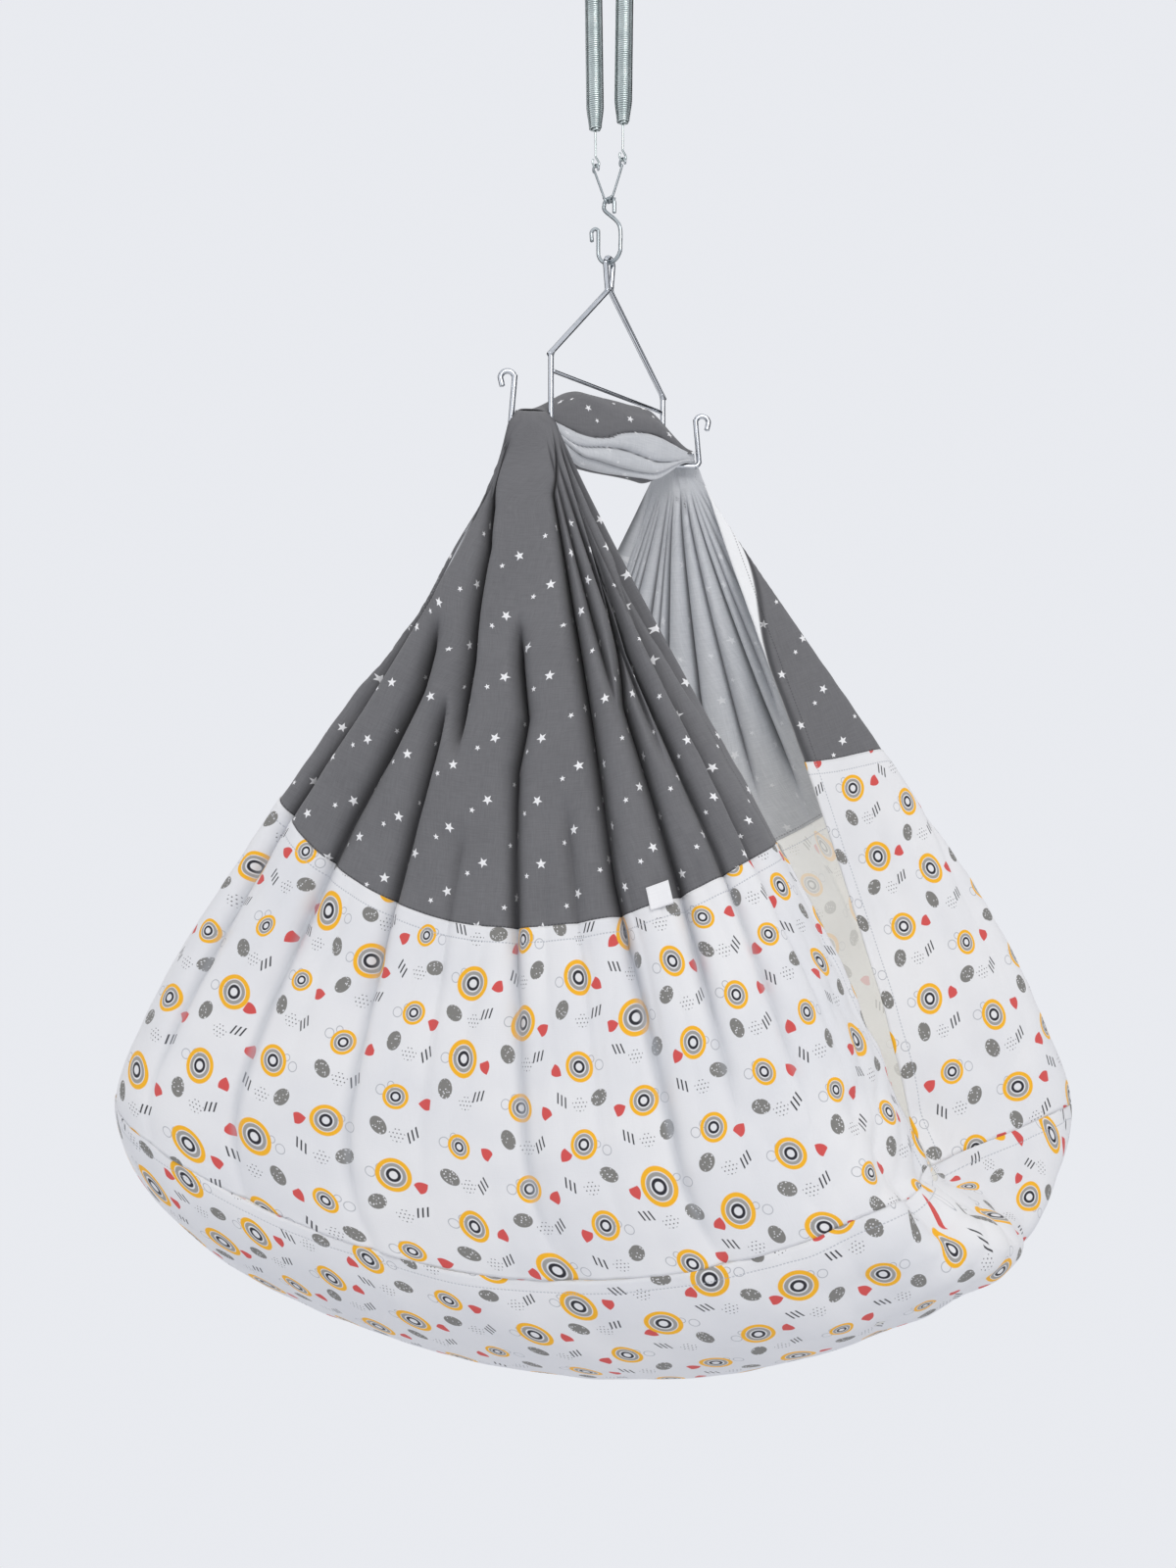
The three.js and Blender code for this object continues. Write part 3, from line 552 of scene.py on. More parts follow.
def spring_path():
    """One spring from its lower hook to its upper hook, with the direction square to its wire.

    The coil is a helix whose pitch is the wire's thickness. Its radius grows as the square root of
    the way along the first turn, and slowly over the next ones, so both its ends taper.
    """
    eye_side = level_direction(EYE_TURN)
    flat = np.cross(UP, eye_side)
    eye_centre = UP * SPRING_EYE_RADIUS
    eye = arc(eye_centre, eye_side, UP, SPRING_EYE_RADIUS, *SPRING_EYE_ARC, SPRING_EYE_STEPS)
    eye_top = SPRING_EYE_RADIUS * 2
    coil_start = eye_top + SPRING_NECK + STRAIGHT_END
    neck = UP * np.linspace(eye_top + SPRING_WIRE, coil_start - SPRING_WIRE, NECK_POINTS)[:, None]
    end = resampled(np.concatenate([eye, neck]), SPRING_WIRE / 3)
    coil_length = SPRING_LENGTH - 2 * coil_start
    turns = round(coil_length / SPRING_WIRE)
    share = np.linspace(0, 1, turns * TURN_STEPS + 1)
    angle = share * turns * 2 * math.pi
    first_angle = math.atan2(flat[1], flat[0])
    outward = np.stack([np.cos(angle + first_angle), np.sin(angle + first_angle), 0 * angle], axis=-1)
    nearest_end = np.minimum(share, 1 - share) * turns
    taper = TAPER_SHARE + (1 - TAPER_SHARE) * smooth(0, TAPER_TURNS, nearest_end)
    radius = SPRING_COIL_RADIUS * np.sqrt(np.clip(nearest_end + FIRST_TURN_START, 0, 1)) * taper
    coil = outward * radius[:, None] + UP * (coil_start + share * coil_length)[:, None]
    other = (end * [-1, -1, -1] + UP * SPRING_LENGTH)[::-1]
    flats = np.concatenate([np.tile(flat, (len(end), 1)), outward, np.tile(flat, (len(end), 1))])
    return np.concatenate([end, coil, other]), flats


def leaned(rows, lean):
    """Points or directions turned about the line across the cradle, so that a spring's top leans."""
    upward = UP * math.cos(lean) + ALONG * math.sin(lean)
    outward = ALONG * math.cos(lean) - UP * math.sin(lean)
    return rows @ (np.outer(ACROSS, ACROSS) + np.outer(UP, upward) + np.outer(ALONG, outward))


path, flats = spring_path()
for label, side in (("left", -1), ("right", 1)):
    lean = side * spring_lean
    middle_line = leaned(path, lean) + at(ALONG, side * SPRING_BOTTOM_OFFSET, spring_bottom)
    points, faces = tube(middle_line, leaned(flats, lean), SPRING_WIRE / 2, SPRING_SIDES)
    spring = new_object(f"spring_coil_{label}", points, faces, materials=[spring_steel])
    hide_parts(f"spring_{label}")
    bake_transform(spring)
    print(spring.name, len(faces), "faces")

# %% [markdown]
# Hanger
#
# The hanger is one chromed wire: a narrow loop on top, two slanting legs, two upright legs, and
# two arms that turn opposite ways and end in upright hooks. One half is worked out, and the other
# is the same half turned half a turn about the plumb line. A thin crossbar is welded between.

# %% Hanger
BEND_POINTS = 9
HOOK_END_SHARE = 0.7


def bend(before, corner, after, radius):
    """Arc of a radius that rounds a corner, from one straight stretch to the next."""
    back, ahead = unit(before - corner), unit(after - corner)
    half = math.acos(np.clip(back @ ahead, -1, 1)) / 2
    middle = unit(back + ahead)
    centre = corner + middle * radius / math.sin(half)
    first = unit(corner + back * radius / math.tan(half) - centre)
    last = unit(corner + ahead * radius / math.tan(half) - centre)
    share = np.linspace(0, 1, BEND_POINTS)[:, None]
    return centre + radius * unit(first * (1 - share) + last * share)


def hanger_half():
    """End hook, arm, upright leg, slanting leg and half of the top loop."""
    loop_centre = at(ACROSS, 0, hanger_top - HANGER_LOOP_RADIUS)
    loop = arc(loop_centre, ACROSS, UP, HANGER_LOOP_RADIUS, math.pi, RIGHT_ANGLE, 8)
    apex = at(ACROSS, -HANGER_WIRE / 2 - CLEARANCE, hanger_top - HANGER_LOOP_HEIGHT)
    shoulder = at(ACROSS, -HANGER_HALF_SPAN, hanger_top - HANGER_SHOULDER_DROP)
    foot = at(ACROSS, -HANGER_HALF_SPAN, arm_height)
    arm_end = foot + ARM * ARM_LENGTH
    shaft_top = arm_end - ARM * HOOK_LEAN + UP * HOOK_RISE
    curl_centre = shaft_top + ARM * HOOK_CURL_RADIUS
    points = [
        (curl_centre + ARM * HOOK_CURL_RADIUS * HOOK_END_SHARE - UP * HOOK_TIP)[None],
        arc(curl_centre, ARM, UP, HOOK_CURL_RADIUS, 0, math.pi, 10),
        bend(shaft_top, arm_end, foot, HANGER_BEND),
        bend(arm_end, foot, shoulder, HANGER_BEND),
        bend(foot, shoulder, apex, HANGER_SHOULDER_BEND),
        bend(shoulder, apex, loop[0], HANGER_BEND),
        loop,
    ]
    return np.concatenate(points)


half = hanger_half()
whole = np.concatenate([half, (half[:-1] * [-1, -1, 1])[::-1]])
HANGER_REFERENCE = unit(ALONG - 0.7 * ACROSS)  # no stretch of the hanger runs this way
hanger = add_wire("hanger_wire", whole, HANGER_REFERENCE, HANGER_WIRE, chrome)
place_piece(hanger, "cradle", "hanger_chrome", "hanger_frame")

reach = HANGER_HALF_SPAN - HANGER_WIRE / 2 - CLEARANCE
crossbar_path = np.stack([at(ACROSS, -reach, crossbar_height), at(ACROSS, reach, crossbar_height)])
crossbar = add_wire("crossbar_rod", crossbar_path, ALONG, CROSSBAR_WIRE, chrome)
place_piece(crossbar, "cradle", "hanger_chrome", "hanger_crossbar")

# %% [markdown]
# Threads of the cloth
#
# Cloth hardly stretches, so its shape is told best by its own threads. Each thread starts in the
# gather on a hanger arm, drops along the wall of the bed to the rim, and turns under the bed to
# its keel. Listed shares say where the rim and the keel are for nine threads, from the left
# hem to the right hem, and a smooth curve fills in the rest. A cloth simulation could drape such a
# loop as well, but it would not find the one shape that the photograph shows.

# %% Tables of the cloth, from hem to hem


def mirrored(shares, sign):
    """A table of one half of the bed, carried on to the other half with a sign."""
    return [sign * value for value in shares[:0:-1]] + list(shares)


NEAR_WALL = {
    "rim_length_shares": [-0.68, -0.99, -0.90, -0.60, -0.26, 0.07, 0.37, 0.61, 0.705],
    "rim_width_shares": [0, -0.5, -0.94, -1, -1, -0.97, -0.9, -0.7, -0.18],
    "rim_depth_shares": [0.728, 0.68, 0.664, 0.685, 0.7065, 0.717, 0.7225, 0.733, 0.757],
    "bow_shares": [0.22, 0.22, 0.18, 0.08, 0, 0, 0.03, 0.08, 0.13],
    "seam_shares": [0.88, 0.865, 0.90, 0.96, 1, 1, 0.985, 0.96, 0.94],
    "base_seam_shares": [0.959, 0.794, 0.714, 0.733, 0.754, 0.767, 0.781, 0.811, 0.972],
    "turn": 1,
    "inside_out": 0,
}
FAR_WALL = {
    "rim_length_shares": [-0.68, -0.99, -0.875, -0.56, -0.22, 0.1, 0.38, 0.61, 0.705],
    "rim_width_shares": [0, -0.5, -0.94, -1, -1, -0.97, -0.9, -0.7, -0.18],
    "rim_depth_shares": [0.728, 0.68, 0.664, 0.685, 0.7065, 0.717, 0.7225, 0.733, 0.757],
    "bow_shares": [0, 0, 0, 0, 0, 0, 0.03, 0.07, 0.1],
    "seam_shares": [0.73, 0.76, 0.79, 0.83, 0.87, 0.91, 0.94, 0.95, 0.94],
    "base_seam_shares": [0.965, 0.807, 0.73, 0.745, 0.761, 0.769, 0.779, 0.801, 0.964],
    "turn": -1,
    "inside_out": 1,
}
KEEL_LENGTH_SHARES = mirrored([0, 0.39, 0.73, 0.99, 0.79], -1)
KEEL_WIDTH_SHARES = mirrored([0, -0.01, -0.03, -0.07, -0.14], -1)
KEEL_DEPTH_SHARES = mirrored([1, 0.979, 0.924, 0.843, 0.783], 1)


def table_at(shares, s):
    """Smooth value at s, from -1 to 1, of a table whose entries stand at equal steps."""
    shares = np.array(shares, float)
    last = len(shares) - 1
    place = (np.asarray(s) + 1) / 2 * last
    i = np.clip(np.floor(place).astype(int), 0, last - 1)
    neighbours = (shares[np.clip(i + k, 0, last)] for k in (-1, 0, 1, 2))
    return catmull_rom(*neighbours, place - i)


# %% One thread of the cloth
TURN_IN_SHARE = 0.7
TURN_DOWN_SHARE = 0.3
UNDER_START_SHARE = 1.2
UNDER_END_SHARE = 1.5
GATHER_LENGTH = (HANGER_WIRE / 2 + CLEARANCE + GATHER_THICKNESS / 2) * RIGHT_ANGLE
SADDLE_THICKNESS_SHARE = 0.9
SADDLE_RADIUS = HANGER_WIRE / 2 + CLEARANCE + GATHER_THICKNESS * SADDLE_THICKNESS_SHARE
SADDLE_BACK = math.radians(40)
SADDLE_STEPS = 18
GATHER_FLARE = 9 * MM
FLARE_POWER = 1.3
WALL_STEPS = 72
UNDER_STEPS = 48


def hermite(a, b, start_tangent, end_tangent, steps):
    """Cubic curves from points a to points b with given tangents, without their first points."""
    f = np.linspace(0, 1, steps + 1)[None, 1:, None]
    a, b, start_tangent, end_tangent = (x[:, None] for x in (a, b, start_tangent, end_tangent))
    curve = (2 * f**3 - 3 * f**2 + 1) * a + (f**3 - 2 * f**2 + f) * start_tangent
    return curve + (3 * f**2 - 2 * f**3) * b + (f**3 - f**2) * end_tangent


def threads(s, wall):
    """Points of the threads at s: from behind the arm over its top, down the wall and under."""
    foot = at(ACROSS, -HANGER_HALF_SPAN, arm_height)
    gather = foot + ARM * (ARM_LENGTH * (0.5 - s * GATHER_SHARE / 2))[:, None]
    angle = np.linspace(RIGHT_ANGLE + SADDLE_BACK, 0, SADDLE_STEPS + 1)[None, :, None]
    saddle = gather[:, None] + SADDLE_RADIUS * (np.cos(angle) * ARM_OUTWARD + np.sin(angle) * UP)
    flare = GATHER_FLARE * (1 - np.sin(np.minimum(angle, RIGHT_ANGLE))) ** FLARE_POWER
    saddle = saddle - ARM * s[:, None, None] * flare
    rim = np.stack([
        BED_HALF_LENGTH * table_at(wall["rim_length_shares"], s),
        BED_HALF_WIDTH * table_at(wall["rim_width_shares"], s),
        arm_height - BED_DEPTH * table_at(wall["rim_depth_shares"], s),
    ], axis=-1)
    keel = np.stack([
        KEEL_HALF_LENGTH * table_at(KEEL_LENGTH_SHARES, s),
        BED_HALF_WIDTH * table_at(KEEL_WIDTH_SHARES, s),
        arm_height - BED_DEPTH * table_at(KEEL_DEPTH_SHARES, s),
    ], axis=-1)
    start = saddle[:, -1]
    straight = rim - start
    fall = np.linalg.norm(straight, axis=1, keepdims=True)
    level = np.linalg.norm(keel - rim, axis=1, keepdims=True)
    bow = table_at(wall["bow_shares"], s)[:, None]
    leave = straight * (1 - bow) - UP * fall * bow
    turn_in = unit(straight / fall * TURN_IN_SHARE - UP * TURN_DOWN_SHARE)
    down = hermite(start, rim, leave, turn_in * fall, WALL_STEPS)
    inward = np.array([[0.0, 1.0, 0.0]]) * level * UNDER_END_SHARE
    under = hermite(rim, keel, turn_in * level * UNDER_START_SHARE, inward, UNDER_STEPS)
    points = np.concatenate([saddle, down, under], axis=1) * [wall["turn"], wall["turn"], 1]
    points[..., 0] *= 1 - BED_SKEW_SHARE * points[..., 0] / BED_HALF_LENGTH
    return points


def distances(points):
    """Distances along each thread, counted so that the cloth leaves the arm at the same length."""
    steps = np.linalg.norm(np.diff(points, axis=1), axis=2)
    walked = np.concatenate([np.zeros((len(points), 1)), np.cumsum(steps, axis=1)], axis=1)
    return walked - walked[:, SADDLE_STEPS : SADDLE_STEPS + 1] + GATHER_LENGTH


def along_threads(points, walked, lengths):
    """Points of each thread at its own row of lengths."""
    return np.stack([
        np.stack([np.interp(row, far, thread[:, axis]) for axis in range(3)], axis=-1)
        for thread, far, row in zip(points, walked, lengths)
    ])


middle_thread = distances(threads(np.zeros(1), NEAR_WALL))[0]
print(f"middle thread: {middle_thread[-1]:.3f} m from the arm to the keel")

# %% [markdown]
# Pleats
#
# The gather squeezes nearly a metre of cloth onto an arm of 40 mm, so most of it is hidden in
# pleats. A pleat is a line down the wall where cloth vanishes: its two lips come together and the
# cloth between them goes inward and back. That keeps the stars at their true size on the crests,
# as on the real cloth, and makes the narrow dark valleys. Each row below is one pleat: its share of
# the hidden cloth, its lean, its start and end, and its line. The line is given as pairs of a
# length below the gather and a place from hem to hem. Starts, ends and lengths are shares of the
# grey cloth's length. Small pleats between these are drawn by a seed.

# %% Pleats of the walls


def fine_gathers(places, seed):
    """Small pleats that begin at the gather and fade at different lengths, as table rows."""
    draw = np.random.default_rng(seed)
    lean, end, drift = draw.uniform(-0.6, 0.6, (3, len(places)))
    return [
        (0.8, lean[k], 0.02, 0.62 + 0.35 * end[k], [(0, place), (0.7, place + 0.03 * drift[k])])
        for k, place in enumerate(places)
    ]


NEAR_PLEATS = [
    (1.0, 0.3, 0.06, 1.45, [(0.1, -0.97), (0.25, -0.92), (0.6, -0.90), (1.4, -0.89)]),
    (1.2, -0.4, 0.04, 1.5, [(0.1, -0.96), (0.2, -0.85), (0.5, -0.78), (1.4, -0.76)]),
    (1.2, 0.3, 0.04, 1.7, [(0.1, -0.94), (0.2, -0.73), (0.45, -0.64), (1.4, -0.62)]),
    (1.3, -0.4, 0.04, 1.8, [(0.1, -0.9), (0.2, -0.62), (0.4, -0.49), (1.4, -0.45)]),
    (2.6, 0.6, 0.04, 0.72, [(0.03, -0.7), (0.08, -0.6), (0.14, -0.45), (0.2, -0.31),
                            (0.28, -0.2), (0.5, -0.1), (0.75, -0.06)]),
    (1.4, -0.5, 0.42, 1.8, [(0.4, -0.33), (0.58, -0.27), (0.88, -0.29), (1.4, -0.3)]),
    (1.2, 0.5, 0.56, 1.8, [(0.5, -0.16), (0.7, -0.14), (0.9, -0.13), (1.4, -0.12)]),
    (1.4, -0.6, 0.40, 1.8, [(0.4, 0.08), (0.5, 0.09), (0.6, 0.12), (0.7, 0.1), (1.4, 0.15)]),
    (0.5, 0.3, 0.80, 1.6, [(0.8, -0.01), (1.4, -0.01)]),
    (0.5, 0.3, 0.75, 1.7, [(0.7, 0.24), (1.4, 0.27)]),
    (2.6, -0.6, 0.01, 1.8, [(0.02, 0.9), (0.05, 0.72), (0.17, 0.36), (0.4, 0.34),
                            (0.93, 0.34), (1.4, 0.39)]),
    (1.8, 0.4, 0.01, 1.6, [(0.02, 0.98), (0.08, 0.84), (0.17, 0.74), (0.31, 0.66), (0.6, 0.5), (1.4, 0.51)]),
    (1.0, -0.3, 0.16, 1.7, [(0.1, 0.86), (0.25, 0.7), (0.5, 0.61), (0.9, 0.64), (1.4, 0.65)]),
    (0.7, 0.3, 0.30, 1.6, [(0.3, 0.88), (0.6, 0.8), (1.4, 0.78)]),
]
NEAR_PLEATS += fine_gathers([-0.94, -0.86, -0.78, -0.7, -0.57, -0.5], 31)
NEAR_PLEATS += fine_gathers([0.45, 0.58, 0.78, 0.92], 32)
FAR_PLEATS = [
    (1.2, 0.5, 0.05, 1.15, [(0, -0.62), (1.4, -0.66)]),
    (1.4, -0.5, 0.02, 1.10, [(0, -0.45), (1.4, -0.52)]),
    (1.0, 0.4, 0.04, 0.90, [(0, -0.34), (1.4, -0.40)]),
    (1.5, -0.5, 0.02, 1.15, [(0, -0.22), (1.4, -0.28)]),
    (1.0, 0.5, 0.06, 0.95, [(0, -0.1), (1.4, -0.15)]),
    (1.4, 0.4, 0.02, 1.20, [(0, 0.02), (1.4, 0.0)]),
    (1.2, -0.5, 0.05, 1.10, [(0, 0.16), (1.4, 0.14)]),
    (1.2, 0.4, 0.03, 1.20, [(0, 0.3), (1.4, 0.28)]),
    (1.2, -0.4, 0.06, 1.10, [(0, 0.46), (1.4, 0.42)]),
    (1.2, 0.4, 0.05, 1.20, [(0, 0.62), (1.4, 0.58)]),
    (1.0, -0.4, 0.10, 1.15, [(0, 0.78), (1.4, 0.74)]),
    (0.8, 0.4, 0.15, 1.10, [(0, 0.92), (1.4, 0.88)]),
]
FAR_PLEATS += fine_gathers([-0.28, 0.22, 0.54, 0.86], 33)
print(len(NEAR_PLEATS), "pleats on the near wall,", len(FAR_PLEATS), "on the far wall")

# %% Hidden cloth and its valleys
FINE_THREADS = 901
VALLEY_START = 1.0 * MM
VALLEY_SPREAD = 0.011
VALLEY_LEAN = 0.45
PLEAT_RISE = 25 * MM
PLEAT_RISE_SHARE = 0.05
PLEAT_FADE_SHARE = 0.35
PUCKER_WEIGHT = 0.25
fine_s = np.linspace(-1, 1, FINE_THREADS)
from_hem = 1 - np.abs(fine_s)[:, None]


def pleat_fields(lengths, speed, pleats, middle):
    """Weights of hidden cloth left and right of the middle, each pleat's field, a valley's width.

    A field is the side of the pleat, its strength and the distance d from its line. The distance is
    counted in valley widths and grows faster on one side by the pleat's lean.
    """
    width = VALLEY_START + VALLEY_SPREAD * np.clip(lengths, 0, None)
    sides = np.zeros((2,) + lengths.shape[1:])
    fields = []
    for weight, lean, begin, end, line in pleats:
        line = np.array(line) * [GREY_LENGTH, 1]
        place = np.interp(lengths, line[:, 0], line[:, 1])
        begin, end = begin * GREY_LENGTH, end * GREY_LENGTH
        grow = smooth(begin, begin + PLEAT_RISE + PLEAT_RISE_SHARE * (end - begin), lengths)
        fade = 1 - smooth(end - PLEAT_FADE_SHARE * (end - begin), end, lengths)
        strength = weight * grow * fade
        d = (fine_s[:, None] - place) * speed / width
        d = d * (1 + VALLEY_LEAN * lean * np.tanh(2 * d))
        side = int(line[-1, 1] > middle)
        sides[side] += strength.mean(axis=0)
        fields.append((side, strength, d))
    return sides, fields, width


# %% Depth of the folds
GATHER_DEPTH_SHARE = 0.1
FULL_DEPTH_SHARE = 0.16
SEAM_FLATTENS = 0.45
BASE_FLATTENS = 0.6
CURL_SLOPES = (0.17, 0.22)
CURL_FREE = 6 * MM
CURL_DEPTH = 2 * MM
VALLEY_POWER = 1.3
VALLEY_SHARE = 0.85
WIDE_VALLEY = 3
FULL_STRENGTH = 1.1
DEEPEST_POWER = 4
HEM_CALM = 0.06
HEM_END = 0.04


def deepest_valley(lengths):
    """Depth of the deepest valley: it grows below the gather and flattens by the seam and the base.

    Away from the middle it is held to a slope times the length, less a free part, so that the cloth
    by the hems has shallow folds near the arm.
    """
    along = lengths / GREY_LENGTH
    depth = FOLD_DEPTH * (GATHER_DEPTH_SHARE + (1 - GATHER_DEPTH_SHARE) * smooth(0, FULL_DEPTH_SHARE, along))
    depth = depth * (1 - SEAM_FLATTENS * smooth(0.5, 0.95, along))
    depth = depth * (1 - BASE_FLATTENS * smooth(0.95, 1.5, along))
    slope = np.where(fine_s < 0, *CURL_SLOPES)[:, None]
    shallow = np.minimum(depth, np.clip(slope * lengths - CURL_FREE, CURL_DEPTH, None))
    curled = smooth(0.15, 0.4, np.abs(fine_s))[:, None]
    return depth * (1 - curled) + shallow * curled


def fold_cloth(lengths, smooth_points, pleats, middle, inside_out):
    """Flat place of the cloth over each fine thread, and the height of its folds.

    On a crest the flat place grows as fast as the way along the surface. At a pleat it also grows
    by the hidden cloth, which is what the cloth's half width leaves over on that side, spread as
    exp(-d^2) about the line. The valley over it is mostly exp(-|d|^1.3) deep, and where valleys
    meet the deepest one rules. Where the wall is seen from inside, the folds are turned inside out:
    broad ridges inward, narrow valleys.
    """
    speed = np.linalg.norm(np.gradient(smooth_points, fine_s, axis=0), axis=-1)
    sides, fields, width = pleat_fields(lengths, speed, pleats, middle)
    step = fine_s[1] - fine_s[0]
    is_right = fine_s[:, None] > middle
    seen = np.stack([(speed * ~is_right).sum(axis=0), (speed * is_right).sum(axis=0)]) * step
    owned = CLOTH_WIDTH / 2 * np.array([[1 + middle], [1 - middle]])
    scale = np.clip(owned - seen, 0, None) / (sides + PUCKER_WEIGHT)
    even = (owned - scale * sides) / seen
    density = speed * np.where(is_right, even[1], even[0])
    share = np.zeros_like(lengths)
    for side, strength, d in fields:
        hidden = scale[side] * strength
        density = density + hidden * np.exp(-(d**2)) * speed / (math.sqrt(math.pi) * width)
        narrow, wide = np.exp(-np.abs(d) ** VALLEY_POWER), np.exp(-((d / WIDE_VALLEY) ** 2))
        profile = VALLEY_SHARE * narrow + (1 - VALLEY_SHARE) * wide
        share += (np.tanh(strength / FULL_STRENGTH) * profile) ** DEEPEST_POWER
    share = share ** (1 / DEEPEST_POWER) * smooth(0, HEM_CALM, from_hem)
    along = lengths / GREY_LENGTH
    turned = inside_out * smooth(-0.62, -0.46, fine_s)[:, None]
    turned = turned * smooth(0.03, 0.12, along) * (1 - smooth(0.6, 0.95, along))
    share = (share * (1 - turned) + (1 - share) * turned) * smooth(0, HEM_END, from_hem)
    walked = np.cumsum((density[1:] + density[:-1]) / 2 * step, axis=0)
    flat = np.concatenate([np.zeros((1, lengths.shape[1])), walked])
    flat = flat * CLOTH_WIDTH / flat[-1:] - CLOTH_WIDTH / 2
    # The last two are the fold depth seen from outside and from inside; the materials paint shade in the
    # folds by them.
    return flat, -deepest_valley(lengths) * share, share, turned * (1 - share)


# %% Small waves of the cotton
RIPPLE_HEIGHT = 0.7 * MM
LEVEL_HEIGHT = 0.5 * MM
PUCKER_HEIGHT = 3.2 * MM
PUCKER_STEPS = (44 * MM, 71 * MM)
HEM_RISE = 0.6 * MM


def ripples(u, v, seed, count, short, long, stretch):
    """Sum of plane waves with seeded directions: wavelengths short to long, stretched along v."""
    draw = np.random.default_rng(seed)
    total = 0
    for _ in range(count):
        wavelength = short * (long / short) ** draw.random()
        direction = draw.uniform(0, math.pi)
        phase = draw.uniform(0, 2 * math.pi)
        wave = (u * math.cos(direction) + v * math.sin(direction) / stretch) / wavelength
        total = total + np.sin(2 * math.pi * wave + phase) * (wavelength / long)
    return total / math.sqrt(count)


def surface_normals(points):
    """Unit outward normals of a grid, from the cross product of its two slopes."""
    return unit(np.cross(np.gradient(points, axis=1), np.gradient(points, axis=0)))


def small_waves(u, v, seed):
    """Small unevenness of hanging cotton, as a height over its smooth surface.

    Long ripples run down the threads and faint creases run level. Below the seam there are puckers,
    each the absolute value of a wave that wanders sideways, and each hem is a little thicker.
    """
    down = ripples(u, v, seed, 10, 14 * MM, 60 * MM, 5.0) * smooth(20 * MM, 120 * MM, v)
    level = ripples(u, v * 3, seed + 1, 6, 70 * MM, 160 * MM, 1.0) * smooth(0.12, 0.24, v)
    draw = np.random.default_rng(seed + 2)
    wander = 0.03 * np.sin(13 * u + draw.uniform(0, 6)) + 0.012 * np.sin(31 * u + 9 * v)
    first = np.abs(np.sin(math.pi * (u + wander) / PUCKER_STEPS[0])) ** 0.7
    second = np.abs(np.sin(math.pi * (u - wander) / PUCKER_STEPS[1] + 1.0)) ** 0.8
    below_seam = smooth(0.40, 0.49, v) * (1 - smooth(0.56, 0.8, v))
    puckers = (first + second - 1.2) * below_seam
    hem_start = CLOTH_WIDTH / 2 - HEM_WIDTH
    hem = smooth(hem_start - 3 * MM, hem_start, np.abs(u))
    return down * RIPPLE_HEIGHT + level * LEVEL_HEIGHT + puckers * PUCKER_HEIGHT + hem * HEM_RISE


# %% A folded cloth


def folded_grid(wall, pleats, start, stop, shares, rows, seed, middle):
    """A folded cloth: even rows of flat cloth from hem to hem, columns at shares of the length.

    Rows are even on the flat cloth, so each is looked up among the fine threads. Beside the points
    and the flat places it returns marks: numbers for each vertex from which the materials paint the
    shade in the folds and by the hems, and the lapel.
    """
    paths = threads(fine_s, wall)
    lengths = start[:, None] + (stop - start)[:, None] * shares[None, :]
    smooth_points = along_threads(paths, distances(paths), lengths)
    flat, height, share, behind = fold_cloth(lengths, smooth_points, pleats, middle, wall["inside_out"])
    normals = surface_normals(smooth_points)
    u = np.linspace(-CLOTH_WIDTH / 2, CLOTH_WIDTH / 2, rows)
    place = np.stack([np.interp(u, column, np.arange(FINE_THREADS)) for column in flat.T], axis=1)
    i = np.clip(np.floor(place).astype(int), 0, FINE_THREADS - 2)
    f = place - i
    columns = np.arange(len(shares))[None, :]

    def sample(field):
        weight = f if field.ndim == 2 else f[..., None]
        return field[i, columns] * (1 - weight) + field[i + 1, columns] * weight

    v = sample(lengths)
    u_grid = np.broadcast_to(u[:, None], v.shape)
    raised = sample(height) + small_waves(u_grid, v, seed)
    points = sample(smooth_points) + sample(normals) * raised[..., None]
    from_hem_to_hem = place / (FINE_THREADS - 1) * 2 - 1
    marks = {"fold": sample(share), "fold_behind": sample(behind), "place": from_hem_to_hem}
    return points, np.stack([u_grid, v], axis=-1), marks


# %% [markdown]
# Cotton
#
# Both cloths are plain cotton. Their patterns are worked out on the flat cloth: the UV map holds
# metres across and metres down, so a star is the same size in a fold as on a smooth stretch. A
# lattice splits the cloth into cells, random numbers for each cell move and turn its motif, and a
# motif is a distance turned into a mask.

# %% Patterns on flat cloth
FULL_TURN = 2 * math.pi
STAR_INNER_SHARE = 0.42
STAR_SECTOR = math.pi / 5


def flat_axes(g):
    """The two flat coordinates and the UV vector itself."""
    uv = g.node("ShaderNodeTexCoord", output=2)
    across_value = g.node("ShaderNodeSeparateXYZ", None, {0: uv}, output=0)
    down_value = g.node("ShaderNodeSeparateXYZ", None, {0: uv}, output=1)
    return across_value, down_value, uv


def lattice(g, x, y, width, height, seed):
    """Staggered cells: place inside the cell, in metres from its centre, and three random numbers."""
    column = (x / width).floor()
    shifted = y / height + column.maths("PINGPONG", 1.0) * 0.5
    row = shifted.floor()
    inside_x = (x / width - column - 0.5) * width
    inside_y = (shifted - row - 0.5) * height
    cell = g.node("ShaderNodeCombineXYZ", None, {0: column, 1: row, 2: float(seed)})
    random = g.node("ShaderNodeTexWhiteNoise", None, {"Vector": cell}, output=1)
    draws = [g.node("ShaderNodeSeparateColor", None, {0: random}, output=k) for k in range(3)]
    return inside_x, inside_y, draws


def radius_of(x, y):
    """Distance from the centre of a cell."""
    return (x * x + y * y).maths("SQRT")


